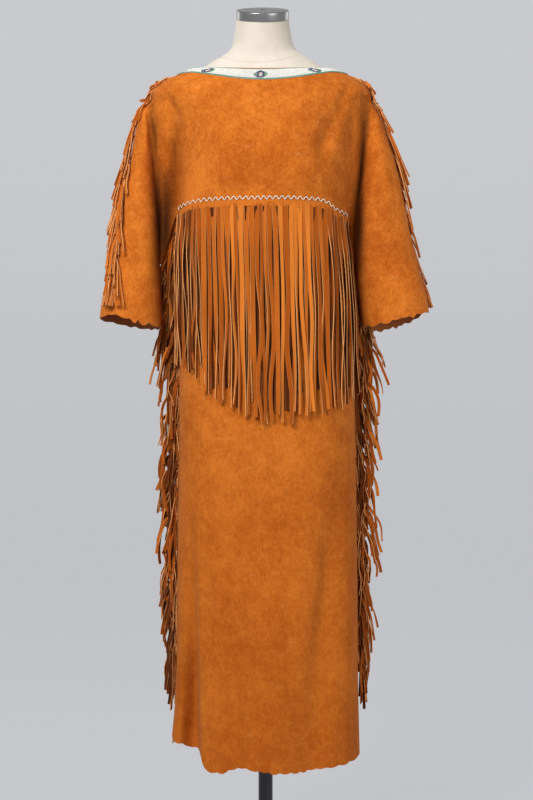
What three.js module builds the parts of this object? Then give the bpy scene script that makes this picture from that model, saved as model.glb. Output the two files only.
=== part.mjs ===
// A fringed leather dress on a limbless dress form, in millimetres. The dress is cut as a yoke with its
// sleeves in one piece and a long straight skirt, each with a front and a back. Fringed strips hang from
// the yoke seam, the side seams and the shoulder seams, and a bead band edges the boat neck. +Z is up and
// the dress faces -Y. The origin is the middle of the stand's underside, on the floor.

import * as THREE from "three";

// Driving sizes
const LEATHER = 1.8; // thickness of the hide
const SEAM_TRIM = 0.35; // each panel stops this far short of a seam
const SEAM_Y = 12; // depth at which the side, underarm and shoulder seams lie
const NECK_Z = 1489; // height of the neckline at its corners
const NECK_DIP_FRONT = 9.5; // the neckline's centre hangs this much lower in front
const NECK_DIP_BACK = 3;
const ARMPIT_Z = 1222; // where the underarm seam ends and the yoke meets the skirt at the sides
const HEM_Z = 190; // the nominal height of the skirt's hem
const CUFF_Z = 1018; // the nominal height of a sleeve's hem
const SHOULDER_Z = 1452; // the sleeves start to part from the body below this
const ARM_Z = 1408; // and are fully parted below this
const BAND_WIDTH = 25; // bead band
const BAND_THICK = 1.8;
const LAY_GAP = 0.6; // between a panel and what is sewn on it
const STRIP_THICK = 1.6; // fringed strips

// The fringed strip below the yoke seam: its place below the seam, its height, how far off it lies, how far
// its strands stand out, how far from the side seams it starts, and how low its strands reach across the
// front
const YOKE_STRANDS = 46;
const YOKE_STRIP = { drop: 4, height: 11, laid: 1, stand: 4, start: 22 };
const YOKE_FRINGE_LOW = [
  [-165, 925],
  [-145, 925],
  [-118, 888],
  [-72, 850],
  [-20, 822],
  [20, 824],
  [70, 838],
  [130, 852],
  [160, 880],
];

// The fringed strips of the side seams: the height of the highest root on each side and of the lowest, the
// pitch of the roots, the strip's inner and outer edge from the seam and its lean to the back, a strand's
// width, and the height above which the sleeves hang beside the strands
const SIDE_FRINGE = {
  left: 1188,
  right: 1142,
  foot: 388,
  pitch: 25,
  root: 1.5,
  fin: 8,
  lean: 30,
  width: 7,
  free: 985,
};
const LANES_FREE = [12, 55, 26, 69, 41, 83];
const LANES_BESIDE_SLEEVE = [41, 69, 55, 83];

// The fringed strips of the sleeves: the heights that they run between, the stretch that the last strand
// has, the strands' and the strip's width, how far off it lies, and how fast a strand rises off the leather
const SLEEVE_FRINGE = {
  count: 26,
  top: 1472,
  foot: 1040,
  last: 62,
  width: 7,
  strip: 8,
  laid: 1.9,
  slope: 0.16,
};

// How finely the panels are divided: strips across a sleeve half, a web and the body, and points on a
// section
const ARM_STRIPS = 5;
const WEB_STRIPS = 2;
const BODY_STRIPS = 20;
const DENSE = 240; // points on a section before it is divided

// The body of the dress, a row for each height: its side edges, its front and back, and how square it is.
const BODY_COLUMNS = ["z", "left", "right", "front", "back", "square"];
const BODY = [
  [1500, -112, 106, -66, 58, 1.9],
  [1489, -138, 132, -72, 63, 1.9],
  [1476, -172, 168, -80, 69, 1.9],
  [1463, -196, 189, -87, 76, 1.9],
  [1442, -213, 203, -97, 85, 2.0],
  [1421, -200, 195, -105, 93, 2.1],
  [1400, -181, 184, -112, 99, 2.2],
  [1361, -166, 172, -122, 104, 2.3],
  [1300, -160, 165, -132, 104, 2.4],
  [1222, -162, 158, -131, 99, 2.5],
  [1150, -161, 160, -127, 99, 2.5],
  [1000, -160, 168, -122, 107, 2.5],
  [800, -160, 173, -120, 109, 2.5],
  [600, -163, 176, -120, 108, 2.5],
  [400, -165, 178, -122, 109, 2.5],
  [190, -170, 182, -126, 112, 2.5],
  [150, -171, 183, -127, 113, 2.5],
];

// Each sleeve, a row for each height: its outer and inner edges, half its depth, the depth at which its
// middle lies, and the seam's turn to the front.
const SLEEVE_COLUMNS = ["z", "outer", "inner", "depth", "middle", "turn"];
const SLEEVE_LEFT = [
  [1452, -213, -209, 6, 12, 2],
  [1421, -229, -212, 14, 12, 5],
  [1400, -238, -213, 22, 12, 8],
  [1361, -247, -212, 30, 12, 12],
  [1317, -255, -209, 36, 12, 18],
  [1252, -268, -204, 42, 12, 28],
  [1222, -273, -201, 44, 12, 33],
  [1180, -281, -199, 46, 12, 42],
  [1120, -293, -198, 49, 12, 52],
  [1049, -308, -196, 51, 4, 62],
  [990, -316, -194, 52, 0, 67],
];
const SLEEVE_RIGHT = [
  [1452, 205, 201, 6, 12, -2],
  [1421, 213, 196, 14, 12, -6],
  [1400, 221, 191, 22, 12, -10],
  [1361, 235, 188, 30, 12, -14],
  [1317, 250, 184, 36, 12, -18],
  [1252, 266, 178, 42, 12, -22],
  [1222, 272, 175, 44, 12, -24],
  [1180, 280, 172, 47, 12, -26],
  [1120, 292, 173, 51, 12, -28],
  [1049, 309, 182, 53, 2, -30],
  [980, 317, 198, 53, -2, -30],
];

// The leather that hangs between body and sleeve: the depths at which it leaves the sleeve and reaches the
// body.
const WEB_COLUMNS = ["z", "sleeveFront", "bodyFront", "sleeveBack", "bodyBack"];
const WEB = [
  [1452, -60, -60, 62, 62],
  [1421, -36, -54, 48, 56],
  [1400, -20, -50, 40, 52],
  [1361, -8, -40, 33, 44],
  [1300, 0, -22, 28, 34],
  [1250, 5, -2, 20, 23],
  [1222, 7, 8.8, 17, 15.2],
  [1100, 7, 8.8, 17, 15.2],
];
// Under the arm its lower edge, the underarm seam, slopes from the body down to the sleeve.
const WEB_FOOT = 1120; // height of that edge at the sleeve
const WEB_END = 3; // width that is left of it there
const WEB_CLEAR = 5; // how far that seam stands off the skirt

// Soft folds of the front and back: each runs from a top point to a bottom point, and pushes the leather in
// (+) or out (-) by its depth, which grows from the top and fades again over the last stretch named by
// fade.
const FOLD_COLUMNS = ["topX", "topZ", "lowX", "lowZ", "depth", "width", "fade"];
const FOLDS_FRONT = [
  [150, 860, 92, 180, 9, 24, 0], // long trough of the right skirt
  [-52, 560, -58, 180, 5, 26, 0],
  [165, 700, 160, 180, -5, 16, 0],
  [30, 620, 12, 180, -4, 40, 0],
  [-14, 1465, -24, 1250, 6, 34, 60], // hollow between the two sides of the bust
  [148, 1462, 116, 1345, 9, 17, 50], // drag line from the right shoulder
  [-60, 1440, -78, 1270, -5, 40, 60],
  [62, 1440, 70, 1270, -5, 36, 60],
];
const FOLDS_BACK = [
  [-70, 1130, -96, 180, 8, 30, 0],
  [64, 1100, 84, 180, 9, 32, 0],
  [0, 900, -6, 180, -6, 44, 0],
  [-138, 1440, -92, 1290, 7, 20, 60],
  [134, 1440, 96, 1290, 7, 20, 60],
];
// The lap: below its top the skirt's left side folds back behind the front, by this much at the hem.
const LAP = { topX: -124, topZ: 700, lowX: -114, lowZ: 190, depth: 62, width: 11, side: 46 };

// The zigzag seam between yoke and skirt, and the hems: heights above or below the nominal, across the
// panel.
const ACROSS_COLUMNS = ["x", "rise"];
const SEAM_FRONT = [
  [-175, -4],
  [-160, 0],
  [-140, 5],
  [-115, 8],
  [0, 10],
  [95, 9],
  [118, 4],
  [132, -6],
  [160, -13],
  [175, -14],
];
const SEAM_BACK = [
  [-175, -4],
  [-120, 0],
  [0, 4],
  [120, -4],
  [175, -14],
];
const HEM_FRONT = [
  [-180, 20],
  [-150, 16],
  [-124, 14],
  [-112, 0],
  [-84, -13],
  [-42, -4],
  [0, -10],
  [50, -12],
  [122, -6],
  [150, -2],
  [185, 4],
];
const HEM_BACK = [
  [-180, 20],
  [-100, 2],
  [-20, -8],
  [60, -2],
  [130, -8],
  [185, 4],
];
const CUFF = { outer: 12, inner: -16, back: 13 }; // the cuff's rise at its two sides, and its drop behind

// Numbers and tables
const rad = (degrees) => (degrees * Math.PI) / 180;
const mix = (a, b, t) => a + (b - a) * t;
const clamp = (t) => Math.min(1, Math.max(0, t));
const ease = (t) => clamp(t) ** 2 * (3 - 2 * clamp(t));

// A table read at a value of its first column, by a cubic through the rows; names gives the columns.
function read(rows, names, at) {
  const rising = rows[0][0] < rows[rows.length - 1][0];
  const sorted = rising ? rows : [...rows].reverse();
  const last = sorted.length - 1;
  const value = Math.min(sorted[last][0], Math.max(sorted[0][0], at));
  let k = sorted.findIndex((row) => row[0] > value) - 1;
  if (k < 0) k = last - 1;
  const [p, a, b, q] = [sorted[Math.max(0, k - 1)], sorted[k], sorted[k + 1], sorted[Math.min(last, k + 2)]];
  const span = b[0] - a[0];
  const t = (value - a[0]) / span;
  const found = {};
  names.forEach((name, i) => {
    const into = p === a ? (b[i] - a[i]) / span : (b[i] - p[i]) / (b[0] - p[0]);
    const out = q === b ? (b[i] - a[i]) / span : (q[i] - a[i]) / (q[0] - a[0]);
    found[name] =
      (2 * t ** 3 - 3 * t ** 2 + 1) * a[i] +
      (t ** 3 - 2 * t ** 2 + t) * into * span +
      (3 * t ** 2 - 2 * t ** 3) * b[i] +
      (t ** 3 - t ** 2) * out * span;
  });
  return found;
}

const rise = (rows, x) => read(rows, ACROSS_COLUMNS, x).rise;

// A point of a rounded section: angle 0 is its left end, 90 the front, 180 the right end, 270 the back.
function around({ left, right, front, back, square }, degrees) {
  const [c, s] = [Math.cos(rad(degrees)), Math.sin(rad(degrees))];
  const shaped = (v) => Math.sign(v) * Math.abs(v) ** (2 / square);
  const depth = s > 0 ? SEAM_Y - front : back - SEAM_Y;
  return [(left + right) / 2 - ((right - left) / 2) * shaped(c), SEAM_Y - depth * shaped(s)];
}

// A point of a sleeve's section: angle 0 is its outer end, 90 the front, 180 the inner end.
function roundSleeve({ outer, inner, depth, middle }, degrees) {
  const [c, s] = [Math.cos(rad(degrees)), Math.sin(rad(degrees))];
  return [(outer + inner) / 2 + ((outer - inner) / 2) * c, middle - depth * s];
}

// How far the folds push a point of the front or back.
function foldPush(rows, x, z) {
  let push = 0;
  for (const row of rows) {
    const fold = Object.fromEntries(FOLD_COLUMNS.map((name, i) => [name, row[i]]));
    const down = (fold.topZ - z) / (fold.topZ - fold.lowZ);
    if (down <= 0) continue;
    const grown = ease(down * 2) * (fold.fade ? 1 - ease((fold.lowZ - z) / fold.fade) : 1);
    const off = (x - mix(fold.topX, fold.lowX, down)) / fold.width;
    push += fold.depth * grown * Math.exp(-off * off);
  }
  return push;
}

function lapPush(x, z, side) {
  const down = (LAP.topZ - z) / (LAP.topZ - LAP.lowZ);
  if (down <= 0) return 0;
  const line = mix(LAP.topX, LAP.lowX, down);
  const stepped = 1 - ease((x - line) / LAP.width + 1);
  return LAP.depth * ease(down) * stepped * ease((x - side) / LAP.side);
}

// A polyline divided evenly along its length into count parts, with its ends trimmed.
function divide(points, count, trimStart = 0, trimEnd = 0) {
  const along = [0];
  for (let i = 1; i < points.length; i++) {
    along.push(along[i - 1] + Math.hypot(points[i][0] - points[i - 1][0], points[i][1] - points[i - 1][1]));
  }
  const total = along[along.length - 1];
  const found = [];
  let k = 1;
  for (let i = 0; i <= count; i++) {
    const target = mix(trimStart, total - trimEnd, i / count);
    while (k < points.length - 1 && along[k] < target) k++;
    const t = (target - along[k - 1]) / (along[k] - along[k - 1] || 1);
    found.push([mix(points[k - 1][0], points[k][0], t), mix(points[k - 1][1], points[k][1], t)]);
  }
  return found;
}

const span = (from, to, count) => Array.from({ length: count + 1 }, (_, i) => mix(from, to, i / count));

// The body's arc at a height, from the left end to the right, in front (side 1) or behind (side -1).
function bodyArc(z, side, from, to, strips, trim = 0) {
  const section = read(BODY, BODY_COLUMNS, z);
  const folds = side > 0 ? FOLDS_FRONT : FOLDS_BACK;
  const dense = span(from, to, DENSE).map((angle) => {
    const [x, y] = around(section, side * angle);
    const firm = ease(Math.abs(y - SEAM_Y) / 30); // no fold reaches a seam
    const lap = side > 0 ? lapPush(x, z, section.left) : 0;
    return [x, y + side * foldPush(folds, x, z) * firm + lap];
  });
  return divide(dense, strips, trim, trim);
}

// Where a rounded section crosses a depth, as an angle from its end.
const angleAt = (share, square) => (Math.asin(clamp(share) ** (square / 2)) * 180) / Math.PI;

// The depths at which the web leaves the sleeve and reaches the body, and how far the sleeve is parted from
// the body.
function webAt(z, side) {
  const web = read(WEB, WEB_COLUMNS, z);
  return {
    atSleeve: side > 0 ? web.sleeveFront : web.sleeveBack,
    atBody: side > 0 ? web.bodyFront : web.bodyBack,
    parted: 1 - ease((z - ARM_Z) / (SHOULDER_Z - ARM_Z)),
  };
}

// Above the point where a sleeve parts, this much of the body's arc goes to its sleeve and its web, in
// degrees.
const WHOLE = { arm: 24, web: 34 };

// A sleeve's part of a row, from its top seam to the web, and the web's points up to the one before the
// joint.
function armRow(rows, z, side, joint, start) {
  const section = read(BODY, BODY_COLUMNS, z);
  const sleeve = read(rows, SLEEVE_COLUMNS, z);
  const { atSleeve, parted } = webAt(z, side);
  const turnTo = (angle) => around(section, side * (rows === SLEEVE_LEFT ? angle : 180 - angle));
  const end = 180 - angleAt((side * (sleeve.middle - atSleeve)) / sleeve.depth, 2);
  const hung = span(side * sleeve.turn, end, DENSE).map((angle) => roundSleeve(sleeve, side * angle));
  const shoulder = span(0, WHOLE.arm, DENSE).map(turnTo);
  const blended = hung.map(([x, y], i) => [mix(shoulder[i][0], x, parted), mix(shoulder[i][1], y, parted)]);
  const arm = divide(blended, ARM_STRIPS, SEAM_TRIM, 0);
  const tip = arm[ARM_STRIPS];
  const web = span(0, 1, WEB_STRIPS).map((t) => {
    const round = turnTo(mix(WHOLE.arm, start, t));
    return [0, 1].map((axis) => mix(round[axis], mix(tip[axis], joint[axis], t), parted));
  });
  return [...arm, ...web.slice(1, -1)];
}

// One row of the yoke at a height: the left sleeve, the left web, the body, the right web and the right
// sleeve.
function yokeRow(z, side) {
  const section = read(BODY, BODY_COLUMNS, z);
  const depth = side > 0 ? SEAM_Y - section.front : section.back - SEAM_Y;
  const { atBody, parted } = webAt(z, side);
  const start = mix(WHOLE.web, angleAt((side * (SEAM_Y - atBody)) / depth, section.square), parted);
  const body = bodyArc(z, side, start, 180 - start, BODY_STRIPS);
  const left = armRow(SLEEVE_LEFT, z, side, body[0], start);
  const right = armRow(SLEEVE_RIGHT, z, side, body[BODY_STRIPS], start);
  return [...left, ...body, ...right.reverse()];
}

// A row of a sleeve and its web below the armpit, from the sleeve's top seam to the underarm seam.
function webRow(rows, z, side) {
  const section = read(BODY, BODY_COLUMNS, ARMPIT_Z);
  const foot = read(rows, SLEEVE_COLUMNS, WEB_FOOT).inner;
  const hand = rows === SLEEVE_LEFT ? -1 : 1;
  const down = (ARMPIT_Z - z) / (ARMPIT_Z - WEB_FOOT);
  const off = WEB_CLEAR * ease(down * 11) * (1 - down);
  const x = mix(hand < 0 ? section.left : section.right, foot - hand * WEB_END, down) + hand * off;
  const joint = [x, webAt(z, side).atBody];
  return [...armRow(rows, z, side, joint, 0), joint];
}

// One half of a sleeve below its web, from its top seam to the underarm seam.
function sleeveRow(rows, z, side) {
  const sleeve = read(rows, SLEEVE_COLUMNS, z);
  const dense = span(side * sleeve.turn, 180, DENSE).map((angle) => roundSleeve(sleeve, side * angle));
  return divide(dense, ARM_STRIPS, SEAM_TRIM, SEAM_TRIM);
}

// Sheets: points with the quads between them. A row is a list of points, and a grid is a list of rows.
class Sheet {
  constructor() {
    this.points = [];
    this.quads = [];
    this.known = new Map();
  }

  index(p) {
    const key = p.map((v) => Math.round(v * 1000)).join(" ");
    if (!this.known.has(key)) {
      this.known.set(key, this.points.length);
      this.points.push(new THREE.Vector3(...p));
    }
    return this.known.get(key);
  }

  // Adds a grid whose rows run left to right and go down; outward is 1 if it faces the viewer in front.
  grid(rows, outward) {
    for (let i = 1; i < rows.length; i++) {
      for (let j = 1; j < rows[i].length; j++) {
        const corners = [rows[i - 1][j - 1], rows[i][j - 1], rows[i][j], rows[i - 1][j]];
        const quad = corners.map((p) => this.index(p));
        this.quads.push(outward > 0 ? quad : quad.reverse());
      }
    }
    return this;
  }

  triangles() {
    return this.quads.flatMap(([a, b, c, d]) => [
      [a, b, c],
      [a, c, d],
    ]);
  }

  normals() {
    const found = this.points.map(() => new THREE.Vector3());
    const [u, v] = [new THREE.Vector3(), new THREE.Vector3()];
    for (const [a, b, c] of this.triangles()) {
      u.subVectors(this.points[b], this.points[a]);
      v.subVectors(this.points[c], this.points[a]);
      const n = u.clone().cross(v);
      [a, b, c].forEach((k) => found[k].add(n));
    }
    return found.map((n) => n.normalize());
  }
}

// Two sheets that meet at seams turn their edges the same way there.
function shareNormals(one, other, within = 1.6) {
  const [first, second] = [one.normals(), other.normals()];
  const [freshFirst, freshSecond] = [first.map((n) => n.clone()), second.map((n) => n.clone())];
  one.points.forEach((p, i) => {
    other.points.forEach((q, j) => {
      if (Math.abs(p.z - q.z) < 2 && p.distanceTo(q) < within) {
        freshFirst[i].add(second[j]).normalize();
        freshSecond[j].add(first[i]).normalize();
      }
    });
  });
  return [freshFirst, freshSecond];
}

// A closed wall between a sheet moved out by high and by low along its normals.
function wall(sheet, high, low, normals = sheet.normals()) {
  const count = sheet.points.length;
  const positions = [];
  for (const offset of [high, low]) {
    sheet.points.forEach((p, i) => {
      positions.push(...p.clone().addScaledVector(normals[i], offset).toArray());
    });
  }
  const faces = sheet.triangles();
  const edges = new Map();
  for (const [a, b, c] of faces) {
    for (const [from, to] of [
      [a, b],
      [b, c],
      [c, a],
    ]) {
      if (!edges.delete(`${to} ${from}`)) edges.set(`${from} ${to}`, [from, to]);
    }
  }
  const index = faces.flatMap(([a, b, c]) => [a, b, c, a + count, c + count, b + count]);
  for (const [from, to] of edges.values()) {
    index.push(from, from + count, to + count, from, to + count, to);
  }
  return new THREE.BufferGeometry()
    .setAttribute("position", new THREE.BufferAttribute(new Float32Array(positions), 3))
    .setIndex(index);
}

// The heights of the yoke's rows, close together where the shoulders slope, and the rows of the other panels
const YOKE_HEIGHTS = [1489, 1478, 1465, 1449, 1431, 1412, 1388, 1356, 1316, 1270, ARMPIT_Z];
const WEB_HEIGHTS = [ARMPIT_Z, 1213, 1186, 1153, WEB_FOOT];
const SLEEVE_HEIGHTS = [WEB_FOOT, 1086, 1052, CUFF_Z];
const SKIRT_HEIGHTS = [ARMPIT_Z, 1120, 1000, 870, 740, 640, 540, 440, 350, 265, HEM_Z];

const lift = (row, z, raise) => row.map(([x, y], i) => [x, y, z + raise(x, i / (row.length - 1))]);

// How the neckline dips towards its middle, fading out further down the yoke.
function neckDip(z, side) {
  const fade = ease((z - 1430) / (NECK_Z - 1430));
  const dip = side > 0 ? NECK_DIP_FRONT : NECK_DIP_BACK;
  return (x) => -dip * fade * Math.cos((Math.PI / 2) * Math.min(1, Math.abs(x + 3) / 130));
}

function seamRise(z, top, side) {
  const share = clamp((top - z) / (top - ARMPIT_Z));
  return (x) => share ** 3 * rise(side > 0 ? SEAM_FRONT : SEAM_BACK, x);
}

// The cuff is lower at the inner side, and its back hangs lower than its front. Both meet at the seams.
function cuffRise(rows, z, side) {
  const sleeve = read(rows, SLEEVE_COLUMNS, CUFF_Z);
  const share = ease((WEB_FOOT - z) / (WEB_FOOT - CUFF_Z));
  return (x, t) => {
    const inward = clamp((x - sleeve.outer) / (sleeve.inner - sleeve.outer));
    const between = Math.sin(Math.PI * t);
    return share * (mix(CUFF.outer, CUFF.inner, inward) - (side > 0 ? 0 : CUFF.back) * between);
  };
}

function yokeSheet(side) {
  const sheet = new Sheet();
  const rows = YOKE_HEIGHTS.map((z) => {
    const [dip, seam] = [neckDip(z, side), seamRise(z, YOKE_HEIGHTS[0], side)];
    return lift(yokeRow(z, side), z, (x) => dip(x) + seam(Math.max(-175, Math.min(175, x))));
  });
  sheet.grid(rows, side);
  const last = rows[rows.length - 1];
  const own = ARM_STRIPS + WEB_STRIPS + 1;
  for (const [table, top] of [
    [SLEEVE_LEFT, last.slice(0, own)],
    [SLEEVE_RIGHT, last.slice(-own).reverse()],
  ]) {
    const facing = table === SLEEVE_LEFT ? side : -side;
    const drop = top[0][2] - ARMPIT_Z;
    const webs = WEB_HEIGHTS.slice(1).map((z) => {
      const left = drop * (1 - ease((ARMPIT_Z - z) / (ARMPIT_Z - WEB_FOOT)));
      return lift(webRow(table, z, side), z, () => left);
    });
    sheet.grid([top, ...webs], facing);
    const tube = SLEEVE_HEIGHTS.slice(1).map((z) => {
      return lift(sleeveRow(table, z, side), z, cuffRise(table, z, side));
    });
    sheet.grid([webs[webs.length - 1].slice(0, ARM_STRIPS + 1), ...tube], facing);
  }
  return sheet;
}

function skirtSheet(side) {
  const hem = side > 0 ? HEM_FRONT : HEM_BACK;
  const seam = side > 0 ? SEAM_FRONT : SEAM_BACK;
  const rows = SKIRT_HEIGHTS.map((z) => {
    const down = (ARMPIT_Z - z) / (ARMPIT_Z - HEM_Z);
    const raise = (x) => {
      const trim = z === ARMPIT_Z ? 2 * SEAM_TRIM + 3 * ease((Math.abs(x) - 140) / 18) : 0;
      const atTop = (1 - down) ** 3 * rise(seam, x) - trim;
      const atHem = down ** 4 * rise(hem, x);
      return atTop + atHem;
    };
    return lift(bodyArc(z, side, 0, 180, BODY_STRIPS, SEAM_TRIM), z, raise);
  });
  return new Sheet().grid(rows, side);
}

// The outer surface of the yoke as one closed row at a height, left seam to left seam by way of the front.
function yokeRing(z) {
  const rows = [1, -1].map((side) => lift(yokeRow(z, side), z, neckDip(z, side)));
  return [...rows[0], ...rows[1].reverse()];
}

// The bead band: a ring that follows the neckline and reaches its width down the yoke.
function neckBand() {
  const steps = 12;
  const heights = span(NECK_Z, NECK_Z - 34, steps);
  const rings = heights.map(yokeRing);
  const drops = [2, 2 + BAND_WIDTH];
  const sheet = new Sheet();
  const columns = rings[0].map((_, j) => {
    const line = rings.map((ring) => new THREE.Vector3(...ring[j]));
    return drops.map((drop) => {
      let left = drop;
      for (let i = 1; i < line.length; i++) {
        const step = line[i].distanceTo(line[i - 1]);
        if (step >= left) return line[i - 1].clone().lerp(line[i], left / step).toArray();
        left -= step;
      }
      return line[line.length - 1].toArray();
    });
  });
  const rows = drops.map((_, i) => [...columns.map((column) => column[i]), columns[0][i]]);
  sheet.grid(rows, 1);
  return wall(sheet, LAY_GAP + BAND_THICK, LAY_GAP);
}

// Fringe: a comb is a strip whose lower cells go on as strands. heads has a left and a right column for
// each strand, each a list of points down the strip, and tails has the points of the strand below it, as
// [left, right] pairs.
function comb(heads, tails) {
  const sheet = new Sheet();
  const columns = heads.flat();
  const rows = columns[0].map((_, i) => columns.map((column) => column[i]));
  sheet.grid(rows, 1);
  heads.forEach(([left, right], i) => {
    sheet.grid([[left[left.length - 1], right[right.length - 1]], ...tails[i]], 1);
  });
  return wall(sheet, STRIP_THICK / 2, -STRIP_THICK / 2);
}

// The row of a panel's facets at a height, between the two rows of points above and below it.
function facetRow(heights, rowAt, z) {
  const k = Math.min(heights.length - 1, Math.max(1, heights.findIndex((height) => height <= z)));
  const t = clamp((heights[k - 1] - z) / (heights[k - 1] - heights[k]));
  const [upper, lower] = [rowAt(heights[k - 1]), rowAt(heights[k])];
  return upper.map(([x, y], i) => [mix(x, lower[i][0], t), mix(y, lower[i][1], t)]);
}

const skirtRow = (side) => (z) => bodyArc(z, side, 0, 180, BODY_STRIPS);

// Moves a point of a row outward by some distance, square to its neighbours in plan.
function outward(row, i, distance) {
  const [a, b] = [row[Math.max(0, i - 1)], row[Math.min(row.length - 1, i + 1)]];
  const along = Math.hypot(b[0] - a[0], b[1] - a[1]);
  const [nx, ny] = [(b[1] - a[1]) / along, -(b[0] - a[0]) / along];
  return [row[i][0] + nx * distance, row[i][1] + ny * distance];
}

// The fringed strip below the yoke seam follows the front of the body as it hangs.
function yokeFringe() {
  const parts = YOKE_STRANDS * 4 - 1;
  const { start: inset } = YOKE_STRIP;
  const at = (z) => divide(facetRow(SKIRT_HEIGHTS, skirtRow(1), z), parts, inset, inset);
  const top = at(ARMPIT_Z);
  const laid = YOKE_STRIP.laid + STRIP_THICK / 2;
  const heads = [];
  const tails = [];
  for (let i = 0; i < YOKE_STRANDS; i++) {
    const [l, r] = [i * 4, i * 4 + 3];
    const under = (j) => ARMPIT_Z + rise(SEAM_FRONT, top[j][0]) - YOKE_STRIP.drop;
    const point = (j, z, away) => [...outward(at(z), j, laid + away), z];
    heads.push([l, r].map((j) => [point(j, under(j), 0), point(j, under(j) - YOKE_STRIP.height, 0)]));
    const low = rise(YOKE_FRINGE_LOW, top[l][0]) + 8 * Math.sin(i * 2.4);
    const start = under(l) - YOKE_STRIP.height;
    tails.push(
      [0.12, 0.5, 1].map((t) => {
        const z = mix(start, low, t);
        const away = YOKE_STRIP.stand * ease(t * 3) + 1.3 * t * Math.sin(i * 1.9);
        return [point(l, z, away), point(r, z, away)];
      }),
    );
  }
  return comb(heads, tails);
}

// A side seam's fringed strip stands out of the seam. Each strand turns into a lane, an upright plane
// through the seam, and hangs there. Strands of one lane hang clear of each other, one above the next.
function sideFringe(hand) {
  const { foot, fin, width, root } = SIDE_FRINGE;
  const top = hand < 0 ? SIDE_FRINGE.left : SIDE_FRINGE.right;
  const count = Math.round((top - foot) / SIDE_FRINGE.pitch) + 1;
  const pitch = (top - foot) / (count - 1);
  const seam = (z) => facetRow(SKIRT_HEIGHTS, skirtRow(-1), z)[hand < 0 ? 0 : BODY_STRIPS];
  const lane = (lean, r, z) => {
    return [seam(z)[0] + hand * r * Math.cos(rad(lean)), SEAM_Y + r * Math.sin(rad(lean)), z];
  };
  const heads = [];
  const tails = [];
  for (let i = 0; i < count; i++) {
    const z = top - i * pitch;
    const beside = z > SIDE_FRINGE.free;
    const lanes = beside ? LANES_BESIDE_SLEEVE : LANES_FREE;
    const lean = lanes[i % lanes.length];
    const reach = beside ? 14 : mix(18, 26, 0.5 + 0.5 * Math.sin(i * 2.1));
    const length = (lanes.length - 0.45) * pitch * (beside ? 1 : mix(0.86, 1, 0.5 + 0.5 * Math.sin(i * 1.7)));
    const spread = mix(8, 32, 0.5 + 0.5 * Math.sin(i * 2.9)) * mix(0.55, 1, ease((z - foot) / 220));
    const flare = beside ? 0.5 : spread * Math.cos(rad(lean) / 2);
    const [high, low] = [z + width / 2, z - width / 2];
    heads.push([high, low].map((height) => [root, fin].map((r) => lane(SIDE_FRINGE.lean, r, height))));
    const outer = [
      [fin + 3.5, high],
      [reach + width / 2, high - 7],
      [reach + flare * 0.6 + width / 2, z - length * 0.5],
      [reach + flare + width / 2, z - length],
    ];
    const inner = [
      [fin + 3, low],
      [reach - width / 2, low - 9],
      [reach + flare * 0.6 - width / 2, z - length * 0.5],
      [reach + flare - width / 2, z - length],
    ];
    tails.push(outer.map(([r, height], k) => [lane(lean, r, height), lane(lean, ...inner[k])]));
  }
  return comb(heads, tails);
}

// A sleeve's row at a height, from its top seam, on its back panel.
function sleeveBack(hand, z) {
  const table = hand < 0 ? SLEEVE_LEFT : SLEEVE_RIGHT;
  const upper = (height) => {
    const row = yokeRow(height, -1);
    return hand < 0 ? row.slice(0, ARM_STRIPS + 1) : row.slice(-ARM_STRIPS - 1).reverse();
  };
  const middle = (height) => {
    return height < ARMPIT_Z ? webRow(table, height, -1).slice(0, ARM_STRIPS + 1) : upper(height);
  };
  const lower = (height) => (height < WEB_FOOT ? sleeveRow(table, height, -1) : middle(height));
  if (z > ARMPIT_Z) return facetRow(YOKE_HEIGHTS, upper, z);
  return z > WEB_FOOT ? facetRow(WEB_HEIGHTS, middle, z) : facetRow(SLEEVE_HEIGHTS, lower, z);
}

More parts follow.
